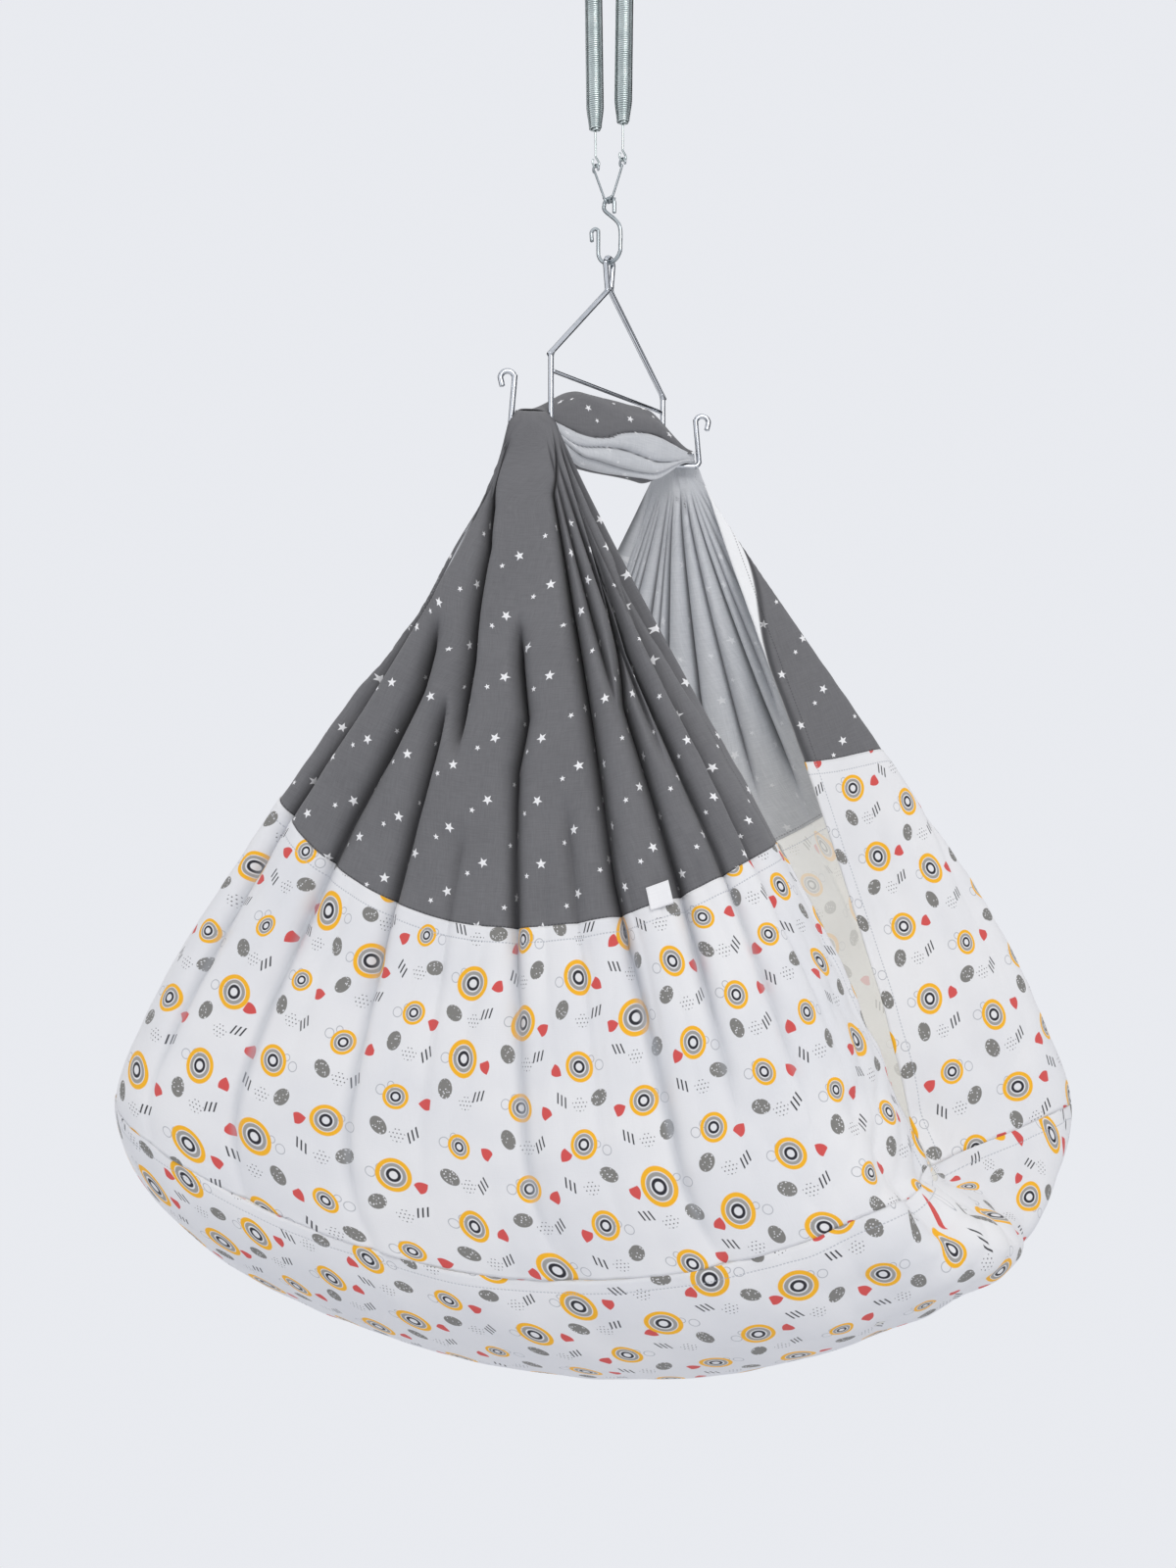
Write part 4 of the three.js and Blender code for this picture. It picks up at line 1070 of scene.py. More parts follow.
def star(x, y, size, turn):
    """Mask of a five-pointed star: the radius of its outline is worked out for each angle.

    Between a tip at angle 0 and an inner corner at 36 degrees the outline is a straight line, so
    its radius is k sin 36 / (sin a + k sin(36 - a)), with k the share of the inner corner.
    """
    angle = (y.maths("ARCTAN2", x) + turn).maths("PINGPONG", STAR_SECTOR)
    bottom = angle.maths("SINE") + (STAR_SECTOR - angle).maths("SINE") * STAR_INNER_SHARE
    radius = radius_of(x, y) / size
    edge = radius * bottom - STAR_INNER_SHARE * math.sin(STAR_SECTOR)
    return edge.ramp(0.02, -0.02)


# %% Weave and stitches
WEAVE_STRENGTH = 0.35
WEAVE_DEPTH = 0.6 * MM
STITCH_AT = 14 * MM
STITCH_STEP = 3.4 * MM


def weave_height(g, uv):
    """Height of a plain weave: noise drawn out along the threads both ways, which makes slubs."""
    across_threads = g.node("ShaderNodeMapping", None, {"Vector": uv, "Scale": (900.0, 60.0, 1.0)})
    down_threads = g.node("ShaderNodeMapping", None, {"Vector": uv, "Scale": (60.0, 900.0, 1.0)})
    slub_a = g.node("ShaderNodeTexNoise", None, {"Vector": across_threads, "Scale": 1.0, "Detail": 2.0})
    slub_b = g.node("ShaderNodeTexNoise", None, {"Vector": down_threads, "Scale": 1.0, "Detail": 2.0})
    return (slub_a + slub_b) * 0.5


def attribute(g, name):
    """A number stored with each vertex of the mesh."""
    return g.node("ShaderNodeAttribute", {"attribute_name": name}, output=2)


def stitches(g, x, distance):
    """Mask of a line of short stitches at STITCH_AT from a seam."""
    dash = abs((x / STITCH_STEP).maths("FRACT") - 0.5).ramp(0.36, 0.28)
    return abs(distance - STITCH_AT).ramp(0.9 * MM, 0.4 * MM) * dash


def cotton(g, colour, height, glow):
    """Cotton with a colour: rough, with a little sheen and the height of its weave.

    A wrong side glows a little: that is the light of the room that comes through the thin cloth.
    """
    relief = {"Strength": WEAVE_STRENGTH, "Distance": WEAVE_DEPTH, "Height": height}
    bump = g.node("ShaderNodeBump", None, relief)
    sockets = {
        "Base Color": colour, "Roughness": height * 0.1 + 0.82, "Normal": bump,
        "Sheen Weight": 0.15, "Sheen Roughness": 0.5,
        "Emission Color": colour, "Emission Strength": glow,
    }
    return g.surface(g.node("ShaderNodeBsdfPrincipled", None, sockets))


# %% Grey cotton with small stars
GREY = srgb(116, 116, 119)
GREY_DARK = srgb(100, 100, 103)
# The third grey of each face is for stitches and for the painted shade deep in the folds.
GREY_STITCH_AND_FOLD_SHADE = srgb(34, 34, 38)
GREY_INSIDE = srgb(196, 198, 202)
GREY_INSIDE_DARK = srgb(172, 175, 180)
GREY_INSIDE_STITCH_AND_FOLD_SHADE = srgb(78, 80, 84)
# Pale wrong side of a lapel with painted light on it, for the painted lapel of the far hem.
LIT_LAPEL = srgb(243, 244, 246)
STAR_WHITE = srgb(240, 240, 242)
STAR_ACROSS = 39 * MM
STAR_DOWN = 60 * MM
BIG_STAR = 5.2 * MM
SMALL_STAR = 3.0 * MM
STARS_START = (0.1, 0.12)
LAPEL_PLACE = 0.3
STAR_SHOWS_THROUGH = 0.35
INSIDE_GLOW = 0.14


def star_masks(g, x, y):
    """Big stars on a staggered lattice and a small one beside each."""
    cell_x, cell_y, draws = lattice(g, x, y, STAR_ACROSS, STAR_DOWN, 3)
    big = star(cell_x - 4 * MM, cell_y, BIG_STAR, draws[0] * FULL_TURN)
    small = star(cell_x + 11 * MM, cell_y - 11 * MM, SMALL_STAR, draws[1] * FULL_TURN)
    return big.larger(small)


def grey_cotton(name, colours, star_strength, inward=False, lapel=False, hems_shaded=False):
    """Grey cotton, either face: slubbed colour, stars, stitches, and the shade deep in its folds.

    Its colours are the light one, the dark one and one for the stitches and the painted shade deep
    in its folds. The far wall has a painted lapel along its hem: the pale wrong side with painted
    light on it, and a painted shadow line at its edge. The near wall's wrong side is painted
    darker below the gather, as the shade where the folds by its hems close over it.
    """
    light, dark, stitch_and_shade_colour = colours
    g = Graph(name)
    x, y, uv = flat_axes(g)
    weave = weave_height(g, uv)
    clouds = g.node("ShaderNodeTexNoise", None, {"Vector": uv, "Scale": 9.0, "Detail": 4.0})
    colour = g.mix(light, dark, weave.ramp(0.3, 0.7) * 0.6 + clouds.ramp(0.3, 0.8) * 0.4)
    stars = star_masks(g, x, y) * y.ramp(*STARS_START)
    colour = g.mix(colour, STAR_WHITE, stars * star_strength)
    # Painted lapel along the far hem: the pale wrong side with painted light on it, and a painted shadow
    # line at its edge.
    if lapel:
        from_edge = attribute(g, "place") + 1 - y.ramp(0.27, 0.03) * LAPEL_PLACE
        colour = g.mix(colour, LIT_LAPEL, from_edge.ramp(0.01, -0.01))
        colour = g.mix(colour, stitch_and_shade_colour, abs(from_edge - 0.02).ramp(0.03, 0.0) * 0.6)
    # Painted shade on the near wall's wrong side, by its hems below the gather.
    if hems_shaded:
        place = attribute(g, "place")
        left_hem = place.ramp(-0.62, -0.72) * y.ramp(0.17, 0.11)
        right_hem = place.ramp(0.1, 0.45) * y.ramp(0.46, 0.28)
        colour = g.mix(colour, GREY_DARK, left_hem.larger(right_hem))
    hem = CLOTH_WIDTH / 2 - abs(x)
    sewn = stitches(g, x, attribute(g, "from_seam") + 11 * MM).larger(stitches(g, y, hem))
    colour = g.mix(colour, stitch_and_shade_colour, sewn * 0.45)
    # Painted shade deep in the folds, by the fold depth stored with each vertex.
    shade = attribute(g, "fold_behind" if inward else "fold").ramp(0.2, 0.95)
    colour = g.mix(colour, stitch_and_shade_colour, shade * 0.8)
    return cotton(g, colour, weave - sewn * 0.6, INSIDE_GLOW if inward else 0.0)


right_side = (GREY, GREY_DARK, GREY_STITCH_AND_FOLD_SHADE)
wrong_side = (GREY_INSIDE, GREY_INSIDE_DARK, GREY_INSIDE_STITCH_AND_FOLD_SHADE)
grey_outside = grey_cotton("grey_star_cotton", right_side, 1.0)
grey_outside_far = grey_cotton("grey_star_cotton_painted_lapel", right_side, 1.0, lapel=True)
grey_inside = grey_cotton("grey_cotton_wrong_side", wrong_side, STAR_SHOWS_THROUGH, inward=True)
grey_inside_near = grey_cotton(
    "grey_cotton_wrong_side_near", wrong_side, STAR_SHOWS_THROUGH, inward=True, hems_shaded=True
)
print("grey cotton in", len(grey_outside.node_tree.nodes), "nodes")

# %% [markdown]
# Printed cotton
#
# The lower cloth is white, printed in mustard, grey, black and coral. The print here is a plain
# one: rings, pebbles, dashes, drops, dots and outlines on one staggered lattice. A random size,
# place and turn for each keeps the cells from looking stamped.

# %% Motifs of the print
WHITE = srgb(235, 235, 237)
WHITE_SHADE = srgb(226, 227, 231)
WHITE_STITCH_AND_FOLD_SHADE = srgb(176, 180, 188)
WHITE_INSIDE = srgb(230, 230, 228)
WHITE_INSIDE_DARK = srgb(221, 221, 219)
MUSTARD = srgb(249, 182, 38)
PEBBLE = srgb(128, 127, 124)
PRINT_GREY = srgb(158, 156, 153)
INK = srgb(40, 40, 48)
CORAL = srgb(214, 84, 82)
OUTLINE = srgb(176, 178, 184)
PRINT_ACROSS = 66 * MM
PRINT_DOWN = 76 * MM
PRINT_EDGE = 0.45 * MM
PRINT_SHOWS_THROUGH = 0.3
PRINT_INSIDE_GLOW = 0.3


def turned_axes(x, y, angle):
    """Coordinates turned by an angle."""
    cos, sin = angle.maths("COSINE"), angle.maths("SINE")
    return x * cos + y * sin, y * cos - x * sin


def stroke(distance, half_width):
    """Mask of a band about zero distance."""
    return abs(distance).ramp(half_width + PRINT_EDGE, half_width - PRINT_EDGE)


def drifted(x, y, draws, first, second, reach=4 * MM):
    """The motif's own coordinates: its place in the cell shifted a little by two random draws."""
    return x + (draws[first] - 0.5) * (2 * reach), y + (draws[second] - 0.5) * (2 * reach)


def ring_motif(g, colour, x, y, draws):
    """Three rings round a centre: mustard, grey and black, a little egg-shaped."""
    size = draws[0] * 0.5 + 0.68
    tx, ty = turned_axes(*drifted(x, y, draws, 2, 1), draws[1] * FULL_TURN)
    wobble = (tx * tx * 1.14 + ty * ty * 0.9).maths("SQRT") / size
    colour = g.mix(colour, MUSTARD, stroke(wobble - 14 * MM, 2.0 * MM))
    colour = g.mix(colour, PRINT_GREY, stroke(wobble - 9.6 * MM, 1.6 * MM))
    return g.mix(colour, INK, stroke(wobble - 5.2 * MM, 1.4 * MM))


def pebble_motif(g, colour, x, y, uv, draws):
    """A grey pebble with pale flecks."""
    tx, ty = turned_axes(*drifted(x, y, draws, 0, 1), draws[2] * FULL_TURN)
    body = (tx * tx * 1.5 + ty * ty * 0.8).maths("SQRT").ramp(8.8 * MM, 8.0 * MM)
    flecks = g.node("ShaderNodeTexVoronoi", None, {"Vector": uv, "Scale": 380.0})
    return g.mix(colour, PEBBLE, body * flecks.ramp(0.16, 0.34))


def drop_motif(g, colour, x, y, draws):
    """A coral drop: a disc whose upper side narrows to a point."""
    tx, ty = turned_axes(*drifted(x, y, draws, 1, 2, 2 * MM), draws[1] * FULL_TURN)
    narrow = abs(tx) + (ty * ty) * 70 + ty * 0.42
    return g.mix(colour, CORAL, narrow.ramp(5.2 * MM, 4.4 * MM) * ty.ramp(-7 * MM, -6 * MM))


def dash_motif(g, colour, x, y, draws):
    """Three short black strokes side by side."""
    tx, ty = turned_axes(*drifted(x, y, draws, 2, 0), draws[0] * 0.9 - 0.45)
    lane = (tx / (4.2 * MM) + 0.5).maths("FRACT") - 0.5
    strokes = stroke(lane * (4.2 * MM), 0.75 * MM) * stroke(tx, 6 * MM)
    return g.mix(colour, INK, strokes * stroke(ty + tx * 0.5, 5 * MM))


def outline_motif(g, colour, x, y, draws):
    """A pale outline of a small circle and a smaller one beside it."""
    x, y = drifted(x, y, draws, 0, 2)
    first = stroke(radius_of(x, y) - 4.6 * MM, 0.4 * MM)
    second = stroke(radius_of(x - 9 * MM, y + 6 * MM) - 3.2 * MM, 0.4 * MM)
    return g.mix(colour, OUTLINE, first.larger(second))


def dot_motif(g, colour, x, y):
    """A patch of tiny dots."""
    step = 3.8 * MM
    dx = ((x / step + (y / step).floor() * 0.5).maths("FRACT") - 0.5) * step
    dy = ((y / step).maths("FRACT") - 0.5) * step
    dots = radius_of(dx, dy).ramp(0.95 * MM, 0.5 * MM)
    return g.mix(colour, INK, dots * radius_of(x, y * 1.3).ramp(8.4 * MM, 7.8 * MM) * 0.8)


# %% Printed cotton


def printed_cotton(name, ground, shade, strength, inward=False):
    """White cotton with the print, lines of stitches by its seams, and soft shade in its folds.

    Half of the cells are mirrored, so that no row of the print reads as a stamped one.
    """
    g = Graph(name)
    x, y, uv = flat_axes(g)
    weave = weave_height(g, uv)
    clouds = g.node("ShaderNodeTexNoise", None, {"Vector": uv, "Scale": 7.0, "Detail": 3.0})
    ground_colour = g.mix(ground, shade, clouds.ramp(0.3, 0.7))
    cell_x, cell_y, draws = lattice(g, x, y, PRINT_ACROSS, PRINT_DOWN, 11)
    cell_x = cell_x * (draws[2].maths("GREATER_THAN", 0.5) * 2 - 1)
    colour = outline_motif(g, ground_colour, cell_x + 21 * MM, cell_y + 8 * MM, draws)
    colour = dot_motif(g, colour, cell_x - 3 * MM, cell_y - 28 * MM)
    colour = dash_motif(g, colour, cell_x - 21 * MM, cell_y - 23 * MM, draws)
    colour = pebble_motif(g, colour, cell_x + 18 * MM, cell_y - 20 * MM, uv, draws)
    colour = drop_motif(g, colour, cell_x - 25 * MM, cell_y + 3 * MM, draws)
    colour = ring_motif(g, colour, cell_x, cell_y + 9 * MM, draws)
    colour = g.mix(ground_colour, colour, strength)
    from_seam = attribute(g, "from_seam")
    sewn = stitches(g, x, from_seam).larger(stitches(g, y, PRINT_WIDTH / 2 - abs(x)))
    colour = g.mix(colour, WHITE_STITCH_AND_FOLD_SHADE, sewn * 0.7)
    ridge = abs(from_seam - STITCH_AT).ramp(3 * MM, 0.0)
    # Painted shade deep in the folds, by the fold depth stored with each vertex.
    deep = attribute(g, "fold_behind" if inward else "fold").ramp(0.3, 1.0)
    colour = g.mix(colour, WHITE_STITCH_AND_FOLD_SHADE, deep * 0.6)
    height = weave - ridge * 0.5 - sewn * 0.5
    return cotton(g, colour, height, PRINT_INSIDE_GLOW if inward else 0.0)


print_outside = printed_cotton("printed_cotton", WHITE, WHITE_SHADE, 1.0)
print_inside = printed_cotton(
    "printed_cotton_wrong_side", WHITE_INSIDE, WHITE_INSIDE_DARK, PRINT_SHOWS_THROUGH, inward=True
)
print("printed cotton in", len(print_outside.node_tree.nodes), "nodes")

# %% [markdown]
# The cloth walls
#
# Each wall is a grey cloth sewn to a printed one along a curved seam. One grid with two materials
# would be simpler, but its seam would be a painted line. So both cloths are grids of the same
# threads, cut at the seam, and the printed one laps over the grey one by a thickness. Their folds
# run on from one to the other. A Solidify modifier gives each cloth its thickness and wrong side.

# %% Seams, creases and thickness
ROWS = 331
GREY_COLUMNS = 132
PRINT_COLUMNS = 96
SEAM_LAP = 2 * MM
END_LENGTH = 0.40
END_HEIGHT = -1.43
CRUMPLE_SHARE = 0.13
CRUMPLE_MEAN = 0.14
CRUMPLE_ENDS = ((1, 0.17, 61), (-1, 0.10, 62))
CRUMPLE_WAVES = (34 * MM, 47 * MM, 62 * MM, 85 * MM)
NEAR_MIDDLE = 0.04
FAR_MIDDLE = -0.999
GREY_SPACING_POWER = 1.12
LAP_LIFT_SHARE = 0.9
LAP_FADE_SHARE = 0.2
BASE_SEAM_MARGIN = 10 * MM


def thicken(obj, thickness, inside=None):
    """Gives a sheet its thickness inward, with its own material for the wrong side."""
    solid = obj.modifiers.new("thickness", "SOLIDIFY")
    solid.thickness = thickness
    solid.offset = -1
    if inside is not None:
        obj.data.materials.append(inside)
        solid.material_offset = 1
    return obj


def seam_length(wall):
    """Length at the seam of the grey and the printed cloth, for each fine thread."""
    return GREY_LENGTH * table_at(wall["seam_shares"], fine_s)


def base_seam_length(wall, s):
    """Length at the seam of the base, for the threads at s."""
    whole_length = distances(threads(s, wall))[:, -1]
    seam = whole_length * table_at(wall["base_seam_shares"], s)
    return np.minimum(seam, whole_length - BASE_SEAM_MARGIN)


def add_values(obj, **named):
    """Stores named numbers for each vertex, such as the distance to a seam or the depth in a fold."""
    for name, values in named.items():
        layer = obj.data.attributes.new(name, "FLOAT", "POINT")
        layer.data.foreach_set("value", values.astype(np.float32).ravel())


def crumples(points):
    """Height of the creases where the ends of the bed are drawn together, from the place in space.

    Each crease is the absolute value of a wave, so it is sharp. The waves have seeded directions
    and fade as exp(-r^2) with the distance from the end, in units of a reach.
    """
    total = 0
    for side, reach, seed in CRUMPLE_ENDS:
        away = points - (ALONG * side * END_LENGTH + UP * END_HEIGHT)
        near = np.exp(-((away**2).sum(axis=-1)) / reach**2)
        draw = np.random.default_rng(seed)
        waves = 0
        for wavelength in CRUMPLE_WAVES:
            way = unit(draw.normal(size=3) * [1, 1, 0.6])
            phase = draw.uniform(0, 3)
            waves = waves + wavelength * np.abs(np.sin(math.pi * (away @ way) / wavelength + phase))
        total = total + near * (waves - CRUMPLE_MEAN) * CRUMPLE_SHARE
    return total


# %% Grey and printed walls


def grey_wall(name, wall, pleats, seed, middle, outside, inside):
    """Grey cloth of one wall, from behind the arm to the seam."""
    stop = seam_length(wall)
    start = np.full(FINE_THREADS, GATHER_LENGTH - SADDLE_RADIUS * (RIGHT_ANGLE + SADDLE_BACK))
    shares = np.linspace(0, 1, GREY_COLUMNS) ** GREY_SPACING_POWER
    points, uv, marks = folded_grid(wall, pleats, start, stop, shares, ROWS, seed, middle)
    obj = new_object(name, points, grid_faces(ROWS, GREY_COLUMNS), uv, [outside])
    add_values(obj, from_seam=uv[:, -1:, 1] - uv[..., 1], **marks)
    return thicken(obj, CLOTH_THICKNESS, inside)


def print_wall(name, wall, pleats, seed, middle):
    """Printed cloth of one wall, from just above the seam to the seam of the base."""
    start, stop = seam_length(wall) - SEAM_LAP, base_seam_length(wall, fine_s)
    shares = np.linspace(0, 1, PRINT_COLUMNS)
    points, uv, marks = folded_grid(wall, pleats, start, stop, shares, ROWS, seed, middle)
    uv = uv * [PRINT_WIDTH / CLOTH_WIDTH, 1]
    points = points + surface_normals(points) * crumples(points)[..., None]
    lift = CLOTH_THICKNESS * LAP_LIFT_SHARE * (1 - smooth(0, LAP_FADE_SHARE, shares))
    points = points + surface_normals(points) * lift[None, :, None]
    obj = new_object(name, points, grid_faces(ROWS, PRINT_COLUMNS), uv, [print_outside])
    add_values(obj, from_seam=uv[..., 1] - uv[:, :1, 1], **marks)
    return thicken(obj, CLOTH_THICKNESS, print_inside)


for label, wall, pleats, seed, middle, outside, inside in (
    ("near", NEAR_WALL, NEAR_PLEATS, 5, NEAR_MIDDLE, grey_outside, grey_inside_near),
    ("far", FAR_WALL, FAR_PLEATS, 17, FAR_MIDDLE, grey_outside_far, grey_inside),
):
    grey = grey_wall(f"grey_wall_{label}", wall, pleats, seed, middle, outside, inside)
    place_piece(grey, "cradle", "grey_cotton", f"grey_cloth_{label}")
    cut = CLOTH_WIDTH * float(seam_length(wall).mean())
    printed = print_wall(f"print_wall_{label}", wall, pleats, seed, middle)
    place_piece(printed, "cradle", "printed_cotton", f"print_cloth_{label}")

# %% [markdown]
# Base of the bed
#
# The base is one panel of the printed cloth under the pad. Its threads run from the seam of the
# near wall down to the keel and up to the seam of the far wall. Its flat places start a whole
# number of cells further along than the walls' ones, so the stitches of their hems stay off it.

# %% Base
BASE_ROWS = 281
BASE_COLUMNS = 120
SAG_HEIGHT = 1.3 * MM
FINE_SAG_HEIGHT = 0.8 * MM
CELLS_BEYOND_HEM = 30


def base_grid(s, shares):
    """Points of the base and its lengths: near threads to the keel, then far threads back up."""
    near, far = threads(s, NEAR_WALL), threads(-s, FAR_WALL)
    near_walked, far_walked = distances(near), distances(far)
    near_start, far_start = base_seam_length(NEAR_WALL, s), base_seam_length(FAR_WALL, -s)
    near_run = near_walked[:, -1] - near_start
    far_run = far_walked[:, -1] - far_start
    walked = (near_run + far_run)[:, None] * shares[None, :]
    on_near = along_threads(near, near_walked, near_start[:, None] + walked)
    on_far = along_threads(far, far_walked, far_walked[:, -1:] - (walked - near_run[:, None]))
    points = np.where((walked < near_run[:, None])[..., None], on_near, on_far)
    return points, walked, walked - near_run[:, None]


def base_flat(points, from_keel):
    """Flat place on the base: the way across the threads, from the middle one, and from the keel."""
    steps = np.linalg.norm(np.diff(points, axis=0), axis=-1)
    across = np.concatenate([np.zeros((1, points.shape[1])), np.cumsum(steps, axis=0)])
    return np.stack([across - across[len(points) // 2], from_keel], axis=-1)


base_s = np.linspace(-1, 1, BASE_ROWS)
base_points, base_walked, from_keel = base_grid(base_s, np.linspace(0, 1, BASE_COLUMNS))
base_u = np.broadcast_to(base_s[:, None] * PRINT_WIDTH / 2, base_walked.shape)
base_uv = base_flat(base_points, from_keel) + [CELLS_BEYOND_HEM * PRINT_ACROSS, 0]
sag = ripples(base_u, base_walked, 41, 10, 35 * MM, 120 * MM, 1.6) * SAG_HEIGHT
sag = sag + ripples(base_u, base_walked, 43, 8, 20 * MM, 60 * MM, 4.0) * FINE_SAG_HEIGHT
base_points = base_points + surface_normals(base_points) * (sag + crumples(base_points))[..., None]
base = new_object("bed_base", base_points, grid_faces(BASE_ROWS, BASE_COLUMNS), base_uv, [print_outside])
add_values(base, from_seam=np.minimum(base_walked, base_walked[:, -1:] - base_walked))
thicken(base, CLOTH_THICKNESS, print_inside)
place_piece(base, "cradle", "printed_cotton", "base_cloth")

# %% [markdown]
# Bridge
#
# Between the two arms the whole width of the cloth is bunched into a thick roll. Its outer face
# lies as a dark hump over the top, and its pale wrong side shows in three rolls below the hump.
# The roll is one closed ring of cloth carried from gather to gather, with a lobe for each band.

# %% Shape of the bridge
BRIDGE_STATIONS = 110
BRIDGE_SIDES = 180
BAND_EDGES = (0.08, -0.36, -0.82, -1.28, -1.95)
BAND_SWELL = (0.34, 0.44, 0.36, 0.2)
HUMP_END = 3.3
HUMP_SWELL = 0.4
HUMP_POWER = 0.22
CREASE_SHARE = 0.76
HUMP_START = -2.4
PUFF_START = 0.42
BRIDGE_INSET = 4 * MM
BRIDGE_TOP_INSET = 5 * MM
GATHER_RISE = 1.5 * MM
END_SWELL_SHARE = 0.15
BRIDGE_SQUARENESS = 0.45
BRIDGE_CREASES = 0.06
BRIDGE_FLAT_RADIUS = 50 * MM
BRIDGE_FLAT_REACH = 110 * MM


def bands_at(turn, v):
    """Swell of the roll's side at each angle and whether it is the pale wrong side.

    Each band is a half ellipse between its two edges, which wander along the roll, so the creases
    between the bands are sharp and the bands round. The dark hump is the widest band.
    """
    edges = [edge + 0.2 * v + 0.12 * np.sin(4.2 * v + 1.9 * k) for k, edge in enumerate(BAND_EDGES)]
    lobes = np.zeros(np.broadcast(turn, v).shape)
    swell = np.zeros(lobes.shape)
    for k, size in enumerate(BAND_SWELL):
        q = (turn - edges[k + 1]) / (edges[k] - edges[k + 1])
        lobe = np.sqrt(np.clip(4 * q * (1 - q), 0, None))
        lobes = lobes + lobe
        swell = swell + size * lobe
    q = (turn - edges[0]) / (HUMP_END - edges[0])
    lobe = np.clip(4 * q * (1 - q), 0, None) ** HUMP_POWER
    pale = (turn < edges[0]) & (turn > edges[3])
    return swell + HUMP_SWELL * lobe, lobes + lobe, pale


def bridge_grid():
    """Rings round the roll, from the near gather to the far gather.

    A ring is cos(turn) to the side and sin(turn) up, each raised to a power below 1, which makes it
    a rounded oblong. It is as narrow as a gather at both ends and puffs up between them.
    """
    near_end = at(ACROSS, -HANGER_HALF_SPAN, 0) + ARM * ARM_LENGTH * 0.5
    side = unit(np.array([-near_end[1], near_end[0], 0.0]))
    v = np.linspace(-1, 1, BRIDGE_STATIONS)[:, None]
    turn = np.linspace(-math.pi, math.pi, BRIDGE_SIDES, endpoint=False)[None, :]
    puff = 1 - smooth(PUFF_START, 1, np.abs(v))
    seat = arm_height + HANGER_WIRE / 2
    low = seat * (1 - puff) + (arm_height - BRIDGE_UNDERSIDE_DROP + BRIDGE_INSET) * puff
    high = (seat + GATHER_THICKNESS + GATHER_RISE) * (1 - puff)
    high = high + (arm_height + BRIDGE_TOP_RISE - BRIDGE_TOP_INSET) * puff
    half_gather = ARM * -ARM_LENGTH * GATHER_SHARE / 2
    half_puffed = side * (BRIDGE_HALF_WIDTH - BRIDGE_INSET)
    wide = half_gather * (1 - puff[..., None]) + half_puffed * puff[..., None]
    power = 1 - BRIDGE_SQUARENESS * (1 - 0.5 * puff)
    level = np.sign(np.cos(turn)) * np.abs(np.cos(turn)) ** power
    upright = np.sign(np.sin(turn)) * np.abs(np.sin(turn)) ** power
    swell, lobes, pale = bands_at(np.where(turn < HUMP_START, turn + FULL_TURN, turn), v)
    round_flat, along_flat = np.broadcast_arrays(turn * BRIDGE_FLAT_RADIUS, v * BRIDGE_FLAT_REACH)
    creases = ripples(round_flat, along_flat, 77, 8, 10 * MM, 40 * MM, 3.5)
    swell = CREASE_SHARE - 1 + swell + creases * BRIDGE_CREASES
    swell = swell * (END_SWELL_SHARE + (1 - END_SWELL_SHARE) * puff)
    points = near_end * -v[..., None] + UP * ((low + high) / 2)[..., None]
    points = points + wide * (level * (1 + swell))[..., None]
    points = points + UP * (upright * (high - low) / 2 * (1 + swell * 0.5))[..., None]
    uv = np.stack([round_flat, along_flat + 0.2], axis=-1)
    # The last is 1 in the creases between the bands, where the materials paint shade.
    return points, pale, uv, 1 - smooth(0, 0.8, lobes) + 0 * v


# %% Bridge in its two colours
bridge_points, pale, bridge_uv, bridge_crease_shade = bridge_grid()
bridge_faces = grid_faces(BRIDGE_STATIONS, BRIDGE_SIDES, wrap=True, flip=True)
bridge = new_object("gather_bridge", bridge_points, bridge_faces, bridge_uv, [grey_outside, grey_inside])
face_pale = pale.reshape(-1)[bridge_faces].mean(axis=1) > 0.5
bridge.data.polygons.foreach_set("material_index", face_pale.astype(np.int32))
# Both fold marks carry the painted shade in the creases of the roll.
add_values(bridge, from_seam=np.ones(bridge_points.shape[:2]), fold=bridge_crease_shade, fold_behind=bridge_crease_shade)
thicken(bridge, CLOTH_THICKNESS)
place_piece(bridge, "cradle", "grey_cotton", "grey_cloth_bridge")

# %% [markdown]
# Sleeping pad
#
# A foam pad in a pale cover lies on the base, and only an edge of it shows. A rounded box would
# stand off the curved bed, so its underside is the base's own surface, a small clearance above it,
# and its top is the same surface raised: crowned, drawn in at its sides, with a dark edge.

# %% Pad
PAD_ROWS = 90
PAD_COLUMNS = 64
PAD_EDGE_SHARE = 0.2
PAD_CROWN_SHARE = 0.76
PAD_CORNER_POWER = 6
PAD_CHANNELS = 5
CHANNEL_RISE = 1.2 * MM
PAD_FLAT_HALF_LENGTH = 300 * MM


def pad_place(s, spread):
    """Point of the base under the pad: spread is the distance from the keel, near side negative."""
    near, far = threads(s, NEAR_WALL), threads(-s, FAR_WALL)
    near_walked, far_walked = distances(near), distances(far)
    on_near = along_threads(near, near_walked, near_walked[:, -1:] + np.minimum(spread, 0))
    on_far = along_threads(far, far_walked, far_walked[:, -1:] - np.maximum(spread, 0))
    return np.where((spread < 0)[..., None], on_near, on_far)


